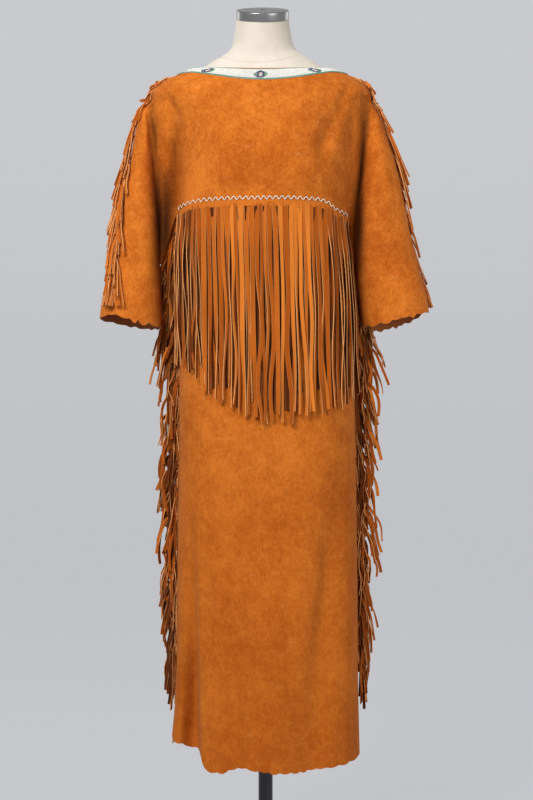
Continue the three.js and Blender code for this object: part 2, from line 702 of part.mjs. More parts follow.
// A sleeve's fringed strip lies on the back panel beside the seam. Its strands hang over one another, each
// one further from the leather the further it is from its root.
function sleeveFringe(hand) {
  const { count, top, foot, width, strip, slope } = SLEEVE_FRINGE;
  const trace = span(top, foot, 40).map((z) => {
    const [x, y] = sleeveBack(hand, z)[0];
    return { z, x, y };
  });
  const along = [0];
  trace.slice(1).forEach((p, i) => {
    along.push(along[i] + Math.hypot(p.x - trace[i].x, p.y - trace[i].y, p.z - trace[i].z));
  });
  const total = along[along.length - 1];
  const heightAt = (u) => {
    let k = 1;
    while (k < along.length - 1 && along[k] < u) k++;
    return mix(trace[k - 1].z, trace[k].z, (u - along[k - 1]) / (along[k] - along[k - 1]));
  };
  const onLeather = (u, across) => {
    const z = heightAt(clamp(u / total) * total);
    const row = sleeveBack(hand, z);
    const ends = divide(row, 1, across, 0);
    return new THREE.Vector3(ends[0][0], ends[0][1], z);
  };
  const point = (u, across, away) => {
    const down = onLeather(u + 4, across).sub(onLeather(u - 4, across));
    const over = onLeather(u, across + 2).sub(onLeather(u, Math.max(0, across - 2)));
    const normal = down.cross(over).multiplyScalar(hand).normalize();
    return onLeather(u, across).addScaledVector(normal, away).toArray();
  };
  const laid = SLEEVE_FRINGE.laid + STRIP_THICK / 2;
  const rootSpan = total - SLEEVE_FRINGE.last;
  const heads = [];
  const tails = [];
  for (let i = 0; i < count; i++) {
    const u = 4 + (i * (rootSpan - 4)) / (count - 1);
    const [high, low] = [u - width / 2, u + width / 2];
    heads.push([high, low].map((v) => [0.8, strip].map((across) => point(v, across, laid))));
    const length = Math.min(mix(96, 124, 0.5 + 0.5 * Math.sin(i * 1.7)), total - u);
    const start = strip + mix(3, 12, 0.5 + 0.5 * Math.sin(i * 2.6));
    const drift = mix(-2, 9, 0.5 + 0.5 * Math.sin(i * 3.7));
    tails.push(
      [0.1, 0.5, 1].map((t) => {
        const s = Math.max(t * length, width);
        const across = start + drift * t;
        const away = laid + slope * (s - width * 0.4);
        return [point(u + s, across + width, away), point(u + s, across, away)];
      }),
    );
  }
  return comb(heads, tails);
}

// The dress form, a row for each ring: height, sides, front, back and forward tilt in degrees
const FORM_COLUMNS = ["z", "left", "right", "front", "back", "square", "tilt"];
const FORM = [
  [862, -116, 122, -78, 92, 2.3, 0],
  [872, -142, 148, -92, 99, 2.3, 0],
  [930, -150, 156, -98, 102, 2.3, 0],
  [1000, -143, 149, -93, 98, 2.3, 0],
  [1060, -129, 133, -84, 86, 2.2, 0],
  [1110, -120, 123, -79, 79, 2.2, 0],
  [1170, -127, 129, -90, 82, 2.2, 0],
  [1230, -139, 139, -112, 88, 2.2, 0],
  [1290, -146, 147, -121, 93, 2.2, 0],
  [1340, -148, 150, -115, 97, 2.1, 0],
  [1390, -160, 160, -100, 94, 2.0, 0],
  [1416, -178, 174, -90, 86, 2.0, 0],
  [1437, -187, 180, -84, 79, 2.0, 0],
  [1452.7, -186, 179, -79, 74, 1.9, 0],
  [1463.7, -174, 168, -74, 69, 1.9, 0],
  [1475.7, -152, 147, -68, 63, 1.9, 0],
  [1485.6, -128, 123, -63, 56, 1.9, 0],
  [1494, -112, 107, -60, 51, 1.9, 2],
  [1507, -91, 87, -58, 49, 2.0, 5],
  [1515, -78, 75, -58, 49, 2.0, 8],
  [1524, -66, 62, -59, 48, 2.0, 11],
  [1534, -60, 56, -60, 46, 2.0, 13],
  [1548, -57, 52, -61, 42, 2.0, 15],
  [1566, -54, 49, -63, 36, 2.0, 17],
  [1581, -52, 47, -65, 32, 2.0, 17.7],
];
const FORM_POINTS = 28;

// The cap on the neck and the stand under the torso: radius and height of each ring
const MEET = 0.3; // pieces that rest on each other are this far apart
const CAP_PROFILE = [
  [49, MEET],
  [49.6, MEET + 0.8],
  [49.6, 16],
  [48.6, 17],
];
const POLE_X = 3;
const POLE_Y = 6;
const BOSS_TOP = 46;
const SOCKET_FOOT = 806;
const SOCKET_PROFILE = [
  [17, SOCKET_FOOT],
  [18, SOCKET_FOOT + 1],
  [18, 854 - MEET],
  [48, 855 - MEET],
  [48, 862 - MEET],
];
const POLE_PROFILE = [
  [13.5, BOSS_TOP + MEET],
  [13.5, SOCKET_FOOT - MEET],
];
const BASE_PROFILE = [
  [178, 0],
  [180, 2],
  [180, 11],
  [176, 14],
  [30, 18],
  [24, 24],
  [24, BOSS_TOP - 2],
  [22, BOSS_TOP],
];

function formTorso() {
  const rings = FORM.map((row) => {
    const ring = Object.fromEntries(FORM_COLUMNS.map((name, i) => [name, row[i]]));
    const middle = (ring.front + ring.back) / 2;
    return Array.from({ length: FORM_POINTS }, (_, k) => {
      const angle = (360 * k) / FORM_POINTS;
      const [c, s] = [Math.cos(rad(angle)), Math.sin(rad(angle))];
      const shaped = (v) => Math.sign(v) * Math.abs(v) ** (2 / ring.square);
      const x = (ring.left + ring.right) / 2 - ((ring.right - ring.left) / 2) * shaped(c);
      const y = -((ring.back - ring.front) / 2) * shaped(s);
      return [x, middle + y * Math.cos(rad(ring.tilt)), ring.z + y * Math.sin(rad(ring.tilt))];
    });
  });
  return loft(rings);
}

// A closed solid through rings of equal count, with flat ends.
function loft(rings) {
  const count = rings[0].length;
  const positions = rings.flat(2);
  const index = [];
  for (let i = 1; i < rings.length; i++) {
    for (let k = 0; k < count; k++) {
      const [a, b] = [(i - 1) * count + k, (i - 1) * count + ((k + 1) % count)];
      index.push(a, b, b + count, a, b + count, a + count);
    }
  }
  for (const [ring, turn] of [
    [0, 1],
    [rings.length - 1, -1],
  ]) {
    const centre = positions.length / 3;
    const sum = [0, 1, 2].map((axis) => rings[ring].reduce((total, p) => total + p[axis], 0) / count);
    positions.push(...sum);
    for (let k = 0; k < count; k++) {
      const [a, b] = [ring * count + k, ring * count + ((k + 1) % count)];
      index.push(...(turn > 0 ? [centre, b, a] : [centre, a, b]));
    }
  }
  return new THREE.BufferGeometry()
    .setAttribute("position", new THREE.BufferAttribute(new Float32Array(positions), 3))
    .setIndex(index);
}

// A turned solid: rings of a radius and a height, on the Z axis.
function turned(profile, sides) {
  return loft(
    profile.map(([radius, z]) =>
      Array.from({ length: sides }, (_, k) => {
        const angle = (2 * Math.PI * k) / sides;
        return [radius * Math.cos(angle), radius * Math.sin(angle), z];
      }),
    ),
  );
}

const root = new THREE.Group();

function add(name, geometry, colour, roughness, metalness = 0) {
  const material = new THREE.MeshStandardMaterial({ color: colour, roughness, metalness });
  const mesh = new THREE.Mesh(geometry, material);
  mesh.name = name;
  root.add(mesh);
  return mesh;
}

const SUEDE = 0xc26a26;
const BLACK = 0x202124;

const [yokeFront, yokeBack] = [yokeSheet(1), yokeSheet(-1)];
const [yokeFrontNormals, yokeBackNormals] = shareNormals(yokeFront, yokeBack);
const [skirtFront, skirtBack] = [skirtSheet(1), skirtSheet(-1)];
const [skirtFrontNormals, skirtBackNormals] = shareNormals(skirtFront, skirtBack);
add("yoke_front", wall(yokeFront, 0, -LEATHER, yokeFrontNormals), SUEDE, 0.95);
add("yoke_back", wall(yokeBack, 0, -LEATHER, yokeBackNormals), SUEDE, 0.95);
add("skirt_front", wall(skirtFront, 0, -LEATHER, skirtFrontNormals), SUEDE, 0.95);
add("skirt_back", wall(skirtBack, 0, -LEATHER, skirtBackNormals), SUEDE, 0.95);
add("neck_band", neckBand(), 0xf2f0ec, 0.4);

add("yoke_fringe", yokeFringe(), SUEDE, 0.95);
add("side_fringe_left", sideFringe(-1), SUEDE, 0.95);
add("side_fringe_right", sideFringe(1), SUEDE, 0.95);
add("sleeve_fringe_left", sleeveFringe(-1), SUEDE, 0.95);
add("sleeve_fringe_right", sleeveFringe(1), SUEDE, 0.95);

add("form_torso", formTorso(), 0xece2d2, 0.9);
const cap = add("neck_cap", turned(CAP_PROFILE, 28), 0xb9b9b7, 0.35, 1);
const neckTop = Object.fromEntries(FORM_COLUMNS.map((name, i) => [name, FORM[FORM.length - 1][i]]));
cap.position.set((neckTop.left + neckTop.right) / 2, (neckTop.front + neckTop.back) / 2, neckTop.z);
cap.rotation.x = rad(neckTop.tilt);
add("pole_socket", turned(SOCKET_PROFILE, 18), BLACK, 0.45).position.set(POLE_X, POLE_Y, 0);
add("stand_pole", turned(POLE_PROFILE, 18), BLACK, 0.4, 0.3).position.set(POLE_X, POLE_Y, 0);
add("stand_base", turned(BASE_PROFILE, 36), BLACK, 0.45);

export default root;
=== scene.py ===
import math

import bpy
import numpy as np
from bpy.props import FloatProperty, FloatVectorProperty, IntProperty, PointerProperty
from bpy.types import Operator, Panel, PropertyGroup
from mathutils.kdtree import KDTree
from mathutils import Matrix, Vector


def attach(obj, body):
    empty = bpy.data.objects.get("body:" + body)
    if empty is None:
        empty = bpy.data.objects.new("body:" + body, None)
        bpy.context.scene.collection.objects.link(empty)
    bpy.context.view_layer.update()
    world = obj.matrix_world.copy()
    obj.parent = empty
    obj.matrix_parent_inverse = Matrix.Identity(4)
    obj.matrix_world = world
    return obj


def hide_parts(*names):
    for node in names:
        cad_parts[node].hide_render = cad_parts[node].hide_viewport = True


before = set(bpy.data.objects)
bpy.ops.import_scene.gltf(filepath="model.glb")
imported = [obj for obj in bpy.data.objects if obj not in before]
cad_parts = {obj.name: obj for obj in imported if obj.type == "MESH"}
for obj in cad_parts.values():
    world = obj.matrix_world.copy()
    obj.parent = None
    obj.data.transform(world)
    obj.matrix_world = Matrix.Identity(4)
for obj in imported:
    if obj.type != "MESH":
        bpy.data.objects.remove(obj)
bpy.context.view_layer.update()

bl_info = {
    "name": "Fringed leather dress",
    "version": (1, 0, 0),
    "blender": (4, 5, 0),
    "location": "3D View > Sidebar > Dress",
    "description": "Builds a fringed leather dress on its form, with its finishes, stage, lights and camera",
    "category": "Object",
}

MM = 0.001  # every length below is in millimetres, and the scene is in metres

# The dress, as its solids have it
SEAM_TRIM = 0.35  # each panel stops this far short of a seam
SEAM_Y = 12  # depth at which the side, underarm and shoulder seams lie
NECK_Z = 1489
NECK_DIP_FRONT = 9.5
NECK_DIP_BACK = 3
ARMPIT_Z = 1222
HEM_Z = 190
CUFF_Z = 1018
SHOULDER_Z = 1452
ARM_Z = 1408
LAY_GAP = 0.6  # between a panel and what is sewn on it
BAND_DROP = 3
WHOLE_ARM = 24  # degrees of the body's arc that go to a sleeve above the point where it parts
WHOLE_WEB = 34
WEB_FOOT = 1120
WEB_END = 3
WEB_CLEAR = 5

# The body, a row for each height: left and right side, front and back, and how square it is
BODY = [
    (1500, -112, 106, -66, 58, 1.9),
    (1489, -138, 132, -72, 63, 1.9),
    (1476, -172, 168, -80, 69, 1.9),
    (1463, -196, 189, -87, 76, 1.9),
    (1442, -213, 203, -97, 85, 2.0),
    (1421, -200, 195, -105, 93, 2.1),
    (1400, -181, 184, -112, 99, 2.2),
    (1361, -166, 172, -122, 104, 2.3),
    (1300, -160, 165, -132, 104, 2.4),
    (1222, -162, 158, -131, 99, 2.5),
    (1150, -161, 160, -127, 99, 2.5),
    (1000, -160, 168, -122, 107, 2.5),
    (800, -160, 173, -120, 109, 2.5),
    (600, -163, 176, -120, 108, 2.5),
    (400, -165, 178, -122, 109, 2.5),
    (270, -169, 180, -124, 111, 2.5),
    (190, -175, 182, -126, 112, 2.5),
    (150, -177, 183, -127, 113, 2.5),
]
# A sleeve, a row for each height: outer and inner edge, half its depth, its middle, its seam's turn
SLEEVE_LEFT = [
    (1452, -213, -209, 6, 12, 2),
    (1421, -229, -212, 14, 12, 5),
    (1400, -238, -213, 22, 12, 8),
    (1361, -247, -212, 30, 12, 12),
    (1317, -255, -209, 36, 12, 18),
    (1252, -268, -204, 42, 12, 28),
    (1222, -273, -201, 44, 12, 33),
    (1180, -281, -199, 46, 12, 42),
    (1120, -293, -198, 49, 12, 52),
    (1049, -308, -196, 51, 4, 62),
    (990, -316, -194, 52, 0, 67),
]
SLEEVE_RIGHT = [
    (1452, 205, 201, 6, 12, -2),
    (1421, 213, 196, 14, 12, -6),
    (1400, 221, 191, 22, 12, -10),
    (1361, 235, 188, 30, 12, -14),
    (1317, 250, 184, 36, 12, -18),
    (1252, 266, 178, 42, 12, -22),
    (1222, 272, 175, 44, 12, -24),
    (1180, 280, 172, 47, 12, -26),
    (1120, 292, 173, 51, 12, -28),
    (1049, 309, 182, 53, 2, -30),
    (980, 317, 198, 53, -2, -30),
]
# The leather between body and sleeve: depths at the sleeve and at the body, in front and behind
WEB = [
    (1452, -60, -60, 62, 62),
    (1421, -36, -54, 48, 56),
    (1400, -20, -50, 40, 52),
    (1361, -8, -40, 33, 44),
    (1300, 0, -22, 28, 34),
    (1250, 5, -2, 20, 23),
    (1222, 7, 8.8, 17, 15.2),
    (1100, 7, 8.8, 17, 15.2),
]
# Large folds: top x and z, low x and z, depth inward, width, and the stretch over which it ends
FOLDS_FRONT = [
    (150, 860, 92, 180, 9, 24, 0),
    (-52, 560, -58, 180, 5, 26, 0),
    (165, 700, 160, 180, -5, 16, 0),
    (30, 620, 12, 180, -4, 40, 0),
    (-14, 1465, -24, 1250, 6, 34, 60),
    (148, 1462, 116, 1345, 9, 17, 50),
    (-60, 1440, -78, 1270, -5, 40, 60),
    (62, 1440, 70, 1270, -5, 36, 60),
]
FOLDS_BACK = [
    (-70, 1130, -96, 180, 8, 30, 0),
    (64, 1100, 84, 180, 9, 32, 0),
    (0, 900, -6, 180, -6, 44, 0),
    (-138, 1440, -92, 1290, 7, 20, 60),
    (134, 1440, 96, 1290, 7, 20, 60),
]
LAP_TOP = (-124, 700)
LAP_LOW = (-114, 190)
LAP_DEPTH = 62
LAP_WIDTH = 11
LAP_SIDE = 46
SEAM_FRONT = [
    (-175, -4), (-160, 0), (-140, 5), (-115, 8), (0, 10),
    (95, 9), (118, 4), (132, -6), (160, -13), (175, -14),
]
SEAM_BACK = [(-175, -4), (-120, 0), (0, 4), (120, -4), (175, -14)]
HEM_FRONT = [
    (-180, 36), (-150, 26), (-126, 18), (-117, 12), (-111, -5), (-84, -13), (-42, -4),
    (0, -10), (50, -12), (122, -6), (150, -2), (185, 4),
]
HEM_BACK = [(-180, 20), (-100, 2), (-20, -8), (60, -2), (130, -8), (185, 4)]
CUFF_OUTER = 12
CUFF_INNER = -16
CUFF_BACK = 13

# Smaller creases, which only the looks need: from x and z, to x and z, bow, depth inward, width
CREASES = {
    "yoke_front": [
        (162, 1468, 100, 1322, 6, 2.6, 15),
        (114, 1388, 104, 1226, 2, 1.5, 16),
        (147, 1462, 115, 1342, 0, -4.2, 18),
        (180, 1446, 158, 1270, 4, -2.6, 11),
        (188, 1452, 172, 1296, 4, 4.6, 6),
        (-190, 1450, -150, 1338, 4, 3.4, 9),
        (-158, 1404, -165, 1232, -10, 7.0, 7),
        (-217, 1462, -211, 1322, 4, 6.0, 8),
        (-232, 1440, -228, 1290, 4, -2.4, 10),
        (-192, 1440, -187, 1262, 6, -4.0, 9),
        (-120, 1452, -134, 1300, -12, 1.8, 12),
        (-96, 1440, -60, 1340, 8, 1.2, 13),
        (40, 1420, 86, 1330, -8, 1.0, 13),
        (-30, 1400, 40, 1372, 5, 0.8, 11),
        (-100, 1330, -20, 1286, 8, 0.9, 12),
        (30, 1296, 100, 1316, -6, 0.9, 11),
        (-252, 1240, -232, 1040, 8, 2.2, 13),
        (-282, 1130, -262, 1030, -6, -1.8, 13),
        (204, 1424, 198, 1300, 3, -2.4, 6),
        (212, 1416, 194, 1230, -4, 3.4, 8),
        (232, 1360, 252, 1150, 8, 2.2, 13),
        (222, 1170, 232, 1036, 6, 2.4, 14),
        (278, 1180, 282, 1040, 8, -2.0, 15),
    ],
    "yoke_back": [
        (-110, 1450, -140, 1290, -12, 2.6, 11),
        (108, 1452, 140, 1280, 12, 2.6, 11),
        (-40, 1430, -70, 1300, 8, 1.4, 13),
        (36, 1424, 74, 1300, -8, 1.4, 13),
        (0, 1400, 6, 1260, 4, -1.2, 16),
        (-232, 1380, -222, 1160, 9, 3.0, 11),
        (-262, 1200, -246, 1040, 8, 2.6, 13),
        (222, 1384, 214, 1160, -9, 3.0, 11),
        (262, 1210, 256, 1040, -7, 2.6, 13),
    ],
    "skirt_front": [
        (-46, 640, -58, 40, 3, 4.2, 22),
        (122, 640, 58, 60, 4, 2.8, 25),
        (26, 560, 4, 30, 2, -2.6, 24),
        (-88, 520, -92, 60, 3, -2.0, 18),
        (-20, 800, -40, 420, 12, 1.3, 17),
        (66, 760, 40, 330, -12, 1.2, 16),
        (118, 640, 84, 300, 8, 1.8, 14),
        (-96, 620, -82, 250, -8, 1.8, 13),
        (24, 520, 30, 230, 6, -1.2, 15),
        (-60, 360, -52, 190, 4, 2.0, 11),
        (62, 330, 70, 190, -4, 1.8, 11),
        (128, 420, 134, 200, 6, -1.0, 14),
        (-128, 980, -134, 800, 6, 1.2, 13),
    ],
    "skirt_back": [
        (-110, 1140, -124, 820, -10, 2.4, 16),
        (112, 1130, 128, 800, 10, 2.6, 16),
        (-30, 1000, -44, 560, 12, 1.8, 18),
        (26, 960, 46, 520, -12, 1.8, 18),
        (-120, 560, -112, 210, 8, 2.4, 14),
        (120, 600, 110, 210, -8, 2.4, 14),
        (14, 420, 8, 200, 5, 1.6, 14),
        (0, 1190, 8, 1080, 4, 1.6, 14),
    ],
}

# Painted shade in the deep folds beside the arms, where shadow falls: from, to, bow, how dark, width
PAINTED_FOLD_SHADE_LINES = [
    (-216, 1450, -207, 1262, 3, 0.8, 7),
    (-206, 1330, -196, 1080, 2, 0.97, 11),
    (-160, 1392, -166, 1200, -8, 0.5, 8),
    (-184, 1310, -190, 1070, 0, 0.93, 17),
    (192, 1440, 171, 1160, 3, 0.93, 7),
    (182, 1300, 177, 1090, 0, 0.92, 10),
]

# How finely the panels are divided
ARM_STRIPS = 26
WEB_STRIPS = 8
BODY_STRIPS = 132
DENSE = 500
YOKE_HEIGHTS = np.concatenate([np.linspace(NECK_Z, 1430, 25), np.linspace(1425, ARMPIT_Z, 40)])
WEB_HEIGHTS = np.linspace(ARMPIT_Z, WEB_FOOT, 19)
SLEEVE_HEIGHTS = np.linspace(WEB_FOOT, CUFF_Z, 23)
SKIRT_HEIGHTS = np.linspace(ARMPIT_Z, HEM_Z, 175)

# Fringe
YOKE_FRINGE_DROP = 4
YOKE_FRINGE_HEAD = 11
YOKE_FRINGE_INSET = 20
YOKE_FRINGE_LOW = [
    (-165, 925), (-145, 925), (-118, 888), (-72, 850), (-20, 822),
    (20, 824), (70, 838), (130, 852), (160, 880),
]
SIDE_FRINGE_TOP = {-1: 1206, 1: 1204}
SIDE_FRINGE_FOOT = 388
SIDE_FRINGE_FREE = 985  # above this the sleeves hang beside it
SLEEVE_FRINGE_TOP = 1474
SLEEVE_FRINGE_FOOT = 1040

# The dress form, a row for each ring: height, sides, front, back, how square it is, forward tilt
FORM = [
    (862, -116, 122, -78, 92, 2.3, 0),
    (872, -142, 148, -92, 99, 2.3, 0),
    (930, -150, 156, -98, 102, 2.3, 0),
    (1000, -143, 149, -93, 98, 2.3, 0),
    (1060, -129, 133, -84, 86, 2.2, 0),
    (1110, -120, 123, -79, 79, 2.2, 0),
    (1170, -127, 129, -90, 82, 2.2, 0),
    (1230, -139, 139, -112, 88, 2.2, 0),
    (1290, -146, 147, -121, 93, 2.2, 0),
    (1340, -148, 150, -115, 97, 2.1, 0),
    (1390, -160, 160, -100, 94, 2.0, 0),
    (1416, -178, 174, -90, 86, 2.0, 0),
    (1437, -187, 180, -84, 79, 2.0, 0),
    (1452.7, -186, 179, -79, 74, 1.9, 0),
    (1463.7, -174, 168, -74, 69, 1.9, 0),
    (1475.7, -152, 147, -68, 63, 1.9, 0),
    (1485.6, -128, 123, -63, 56, 1.9, 0),
    (1494, -112, 107, -60, 51, 1.9, 2),
    (1507, -91, 87, -58, 49, 2.0, 5),
    (1515, -78, 75, -58, 49, 2.0, 8),
    (1524, -66, 62, -59, 48, 2.0, 11),
    (1534, -60, 56, -60, 46, 2.0, 13),
    (1548, -57, 52, -61, 42, 2.0, 15),
    (1566, -54, 49, -63, 36, 2.0, 17),
    (1581, -52, 47, -65, 32, 2.0, 17.7),
]
POLE_X = 3
POLE_Y = 6
SOCKET_FOOT = 806
BOSS_TOP = 46

# A flower of the bead band, a letter for each bead: navy, white, pink, yellow, green and teal
FLOWER = (
    "........N........",
    "......NNNNN......",
    "....NNNNNNNNN....",
    "...NNNNNNNNNNNg..",
    "..tNNNNwwwNNNNgg.",
    ".tt.NNNwpwNNNggg.",
    "ttNNNNNwypwNNNgtt",
    ".tt.NNNwpwNNNggg.",
    "..tNNNNwwwNNNNgg.",
    "...NNNNNNNNNNNg..",
    "....NNNNNNNNN....",
    "......NN.NN......",
)


def linear(red, green, blue):
    """A display colour from 0 to 255 as the linear colour that a shader takes."""
    shares = (red / 255, green / 255, blue / 255)
    return tuple(c / 12.92 if c <= 0.04045 else ((c + 0.055) / 1.055) ** 2.4 for c in shares)


def length(name, description, default):
    return FloatProperty(name=name, description=description, default=default, unit="LENGTH")


def strength(name, description, default):
    return FloatProperty(name=name, description=description, default=default, subtype="FACTOR")


def power(name, description, default):
    return FloatProperty(name=name, description=description, default=default, unit="POWER")


def number(name, description, default):
    return IntProperty(name=name, description=description, default=default)


class DressSizes(PropertyGroup):
    """What a maker would change in the dress."""

    leather: length("Leather", "Thickness of the hide", 0.0018)
    creases: strength("Creases", "Depth of the small creases", 1.0)
    yoke_strands: number("Yoke strands", "Strands in front below the yoke", 52)
    yoke_under: number("Under strands", "Shaded strands behind those", 44)
    side_strands: number("Side strands", "Strands in each side seam", 320)
    behind_strands: number("Under arm strands", "Strands behind each web", 46)
    sleeve_strands: number("Sleeve strands", "Strands in each sleeve seam", 132)
    band: length("Bead band", "Width of the band", 0.027)
    bead: length("Bead", "Pitch of the beads", 0.00165)
    flower_pitch: length("Flowers", "From flower to flower", 0.104)
    lace: length("Lacing", "Thickness of the thread", 0.0017)
    lace_pitch: length("Lacing pitch", "Length of one zigzag", 0.011)
    lace_height: length("Lacing height", "Its height", 0.0066)


def colour(name, description, red, green, blue):
    """A colour that a user may change, given as a display colour."""
    return FloatVectorProperty(
        name=name, description=description, default=linear(red, green, blue), subtype="COLOR", min=0, max=1
    )


class DressColours(PropertyGroup):
    """The colours of the leather, the beads, the form and the stand."""

    suede: colour("Suede", "The lighter colour of the hide", 213, 120, 40)
    suede_deep: colour("Deep suede", "The darker colour of the hide", 168, 81, 16)
    cut: colour("Cut edge", "Where the hide is cut through", 214, 158, 100)
    flesh: colour("Flesh side", "The rougher inner side", 176, 104, 56)
    bead_white: colour("White beads", "The ground of the band", 216, 214, 207)
    bead_teal: colour("Teal beads", "The band's two borders", 22, 128, 98)
    bead_navy: colour("Navy beads", "The petals", 17, 20, 78)
    bead_green: colour("Green beads", "The leaves", 84, 176, 96)
    bead_pink: colour("Pink beads", "Beside the middle", 232, 120, 120)
    bead_yellow: colour("Yellow beads", "The middle", 240, 214, 120)
    lace: colour("Lacing", "The zigzag thread", 240, 232, 214)
    linen: colour("Linen", "The cover of the form", 211, 202, 189)
    steel: colour("Steel", "The cap on the neck", 160, 159, 157)
    black: colour("Black", "The stand", 30, 31, 34)


class StageSettings(PropertyGroup):
    """The backdrop, the lights and the camera."""

    backdrop: colour("Backdrop", "The pale floor and wall", 218, 219, 223)
    glow: strength("Backdrop light", "Light on the backdrop", 0.78)
    key: power("Key", "Light from the left", 100)
    fill: power("Fill", "Light from the right", 54)
    rim: power("Rim", "Light from behind, on each side", 9)
    room: strength("Room", "Light from all round", 0.33)
    camera_distance: length("Camera distance", "From the dress", 3.6)
    camera_height: length("Camera height", "Above the floor", 0.861)
    camera_side: length("Camera side", "To the right", 0.00475)
    pixel: length("Pixel", "Length that a pixel covers", 0.0019)


FRAME_HEIGHT = 800  # pixels


# Numbers and tables


def ease(t):
    t = np.clip(t, 0.0, 1.0)
    return t * t * (3 - 2 * t)


def mix(a, b, t):
    return a + (b - a) * t


def read(rows, at):
    """A table read at values of its first column, by a cubic through its rows, for each other column."""
    table = np.array(sorted(rows), float)
    x, y = table[:, 0], table[:, 1:].T
    slope = np.empty_like(y)
    slope[:, 1:-1] = (y[:, 2:] - y[:, :-2]) / (x[2:] - x[:-2])
    slope[:, 0] = (y[:, 1] - y[:, 0]) / (x[1] - x[0])
    slope[:, -1] = (y[:, -1] - y[:, -2]) / (x[-1] - x[-2])
    value = np.clip(at, x[0], x[-1])
    k = np.clip(np.searchsorted(x, value, side="right") - 1, 0, len(x) - 2)
    span = x[k + 1] - x[k]
    t = (value - x[k]) / span
    return (
        (2 * t**3 - 3 * t**2 + 1) * y[:, k]
        + (t**3 - 2 * t**2 + t) * slope[:, k] * span
        + (3 * t**2 - 2 * t**3) * y[:, k + 1]
        + (t**3 - t**2) * slope[:, k + 1] * span
    )


def shaped(value, square):
    return np.sign(value) * np.abs(value) ** (2 / square)


def around(section, degrees):
    """Points of a rounded section: angle 0 is left, 90 the front, 180 right and 270 the back."""
    left, right, front, back, square = section
    c, s = np.cos(np.radians(degrees)), np.sin(np.radians(degrees))
    depth = np.where(s > 0, SEAM_Y - front, back - SEAM_Y)
    x = (left + right) / 2 - (right - left) / 2 * shaped(c, square)
    return np.stack([x, SEAM_Y - depth * shaped(s, square)], -1)


def round_sleeve(section, degrees):
    """Points of a sleeve's section: angle 0 is its outer end, 90 the front, 180 the inner end."""
    outer, inner, depth, middle = section[:4]
    c, s = np.cos(np.radians(degrees)), np.sin(np.radians(degrees))
    return np.stack([(outer + inner) / 2 + (outer - inner) / 2 * c, middle - depth * s], -1)


def fold_push(rows, x, z):
    """How far the large folds push points of the front or back inward."""
    push = np.zeros_like(x)
    for top_x, top_z, low_x, low_z, depth, width, fade in rows:
        down = (top_z - z) / (top_z - low_z)
        if down <= 0:
            continue
        grown = ease(down * 2) * ((1 - ease((low_z - z) / fade)) if fade else 1)
        push += depth * grown * np.exp(-(((x - mix(top_x, low_x, down)) / width) ** 2))
    return push


def lap_push(x, z, side):
    """How far the skirt's left side folds back behind the front."""
    down = (LAP_TOP[1] - z) / (LAP_TOP[1] - LAP_LOW[1])
    if down <= 0:
        return np.zeros_like(x)
    line = mix(LAP_TOP[0], LAP_LOW[0], down)
    return LAP_DEPTH * ease(down) * (1 - ease((x - line) / LAP_WIDTH + 1)) * ease((x - side) / LAP_SIDE)


def lengths(points):
    """How far along a line each of its points lies."""
    return np.concatenate([[0], np.cumsum(np.linalg.norm(np.diff(points, axis=0), axis=1))])


def divide(points, count, start=0.0, end=0.0):
    """A line divided evenly into count parts, with its ends trimmed."""
    along = lengths(points)
    target = np.linspace(start, along[-1] - end, count + 1)
    return np.stack([np.interp(target, along, axis) for axis in points.T], 1)


def body_arc(z, side, start, end, strips, trim=0.0):
    """The body's arc at a height, from left to right, in front (side 1) or behind (side -1)."""
    section = read(BODY, z)
    x, y = around(section, side * np.linspace(start, end, DENSE)).T
    firm = ease(np.abs(y - SEAM_Y) / 30)
    lap = lap_push(x, z, section[0]) if side > 0 else 0
    y = y + side * fold_push(FOLDS_FRONT if side > 0 else FOLDS_BACK, x, z) * firm + lap
    return divide(np.stack([x, y], 1), strips, trim, trim)


def angle_at(share, square):
    return np.degrees(np.arcsin(np.clip(share, 0, 1) ** (square / 2)))


def web_at(z, side):
    """The depths at which the web leaves the sleeve and reaches the body, and how far they are parted."""
    sleeve_front, body_front, sleeve_back, body_back = read(WEB, z)
    parted = 1 - ease((z - ARM_Z) / (SHOULDER_Z - ARM_Z))
    return (sleeve_front, body_front, parted) if side > 0 else (sleeve_back, body_back, parted)


def arm_row(rows, z, side, joint, start):
    """A sleeve's part of a row, from its top seam, and the web's points up to the one before the joint."""
    body, sleeve = read(BODY, z), read(rows, z)
    at_sleeve, _, parted = web_at(z, side)

    def shoulder_at(angle):
        return around(body, side * (angle if rows is SLEEVE_LEFT else 180 - angle))

    share = side * (sleeve[3] - at_sleeve) / sleeve[2]
    end = 180 - angle_at(share / (1 + max(share, 0) ** 6) ** (1 / 6), 2)
    hung = round_sleeve(sleeve, side * np.linspace(side * sleeve[4], end, DENSE))
    arm = divide(mix(shoulder_at(np.linspace(0, WHOLE_ARM, DENSE)), hung, parted), ARM_STRIPS, SEAM_TRIM)
    t = np.linspace(0, 1, WEB_STRIPS + 1)[1:-1]
    straight = mix(arm[-1], joint, t[:, None])
    web = mix(shoulder_at(mix(WHOLE_ARM, start, t)), straight, parted)
    return np.concatenate([arm, web])


def yoke_row(z, side):
    """A row of the yoke: the left sleeve, the left web, the body, the right web and the right sleeve."""
    section = read(BODY, z)
    depth = SEAM_Y - section[2] if side > 0 else section[3] - SEAM_Y
    _, at_body, parted = web_at(z, side)
    start = mix(WHOLE_WEB, angle_at(side * (SEAM_Y - at_body) / depth, section[4]), parted)
    body = body_arc(z, side, start, 180 - start, BODY_STRIPS)
    left = arm_row(SLEEVE_LEFT, z, side, body[0], start)
    right = arm_row(SLEEVE_RIGHT, z, side, body[-1], start)
    return np.concatenate([left, body, right[::-1]])


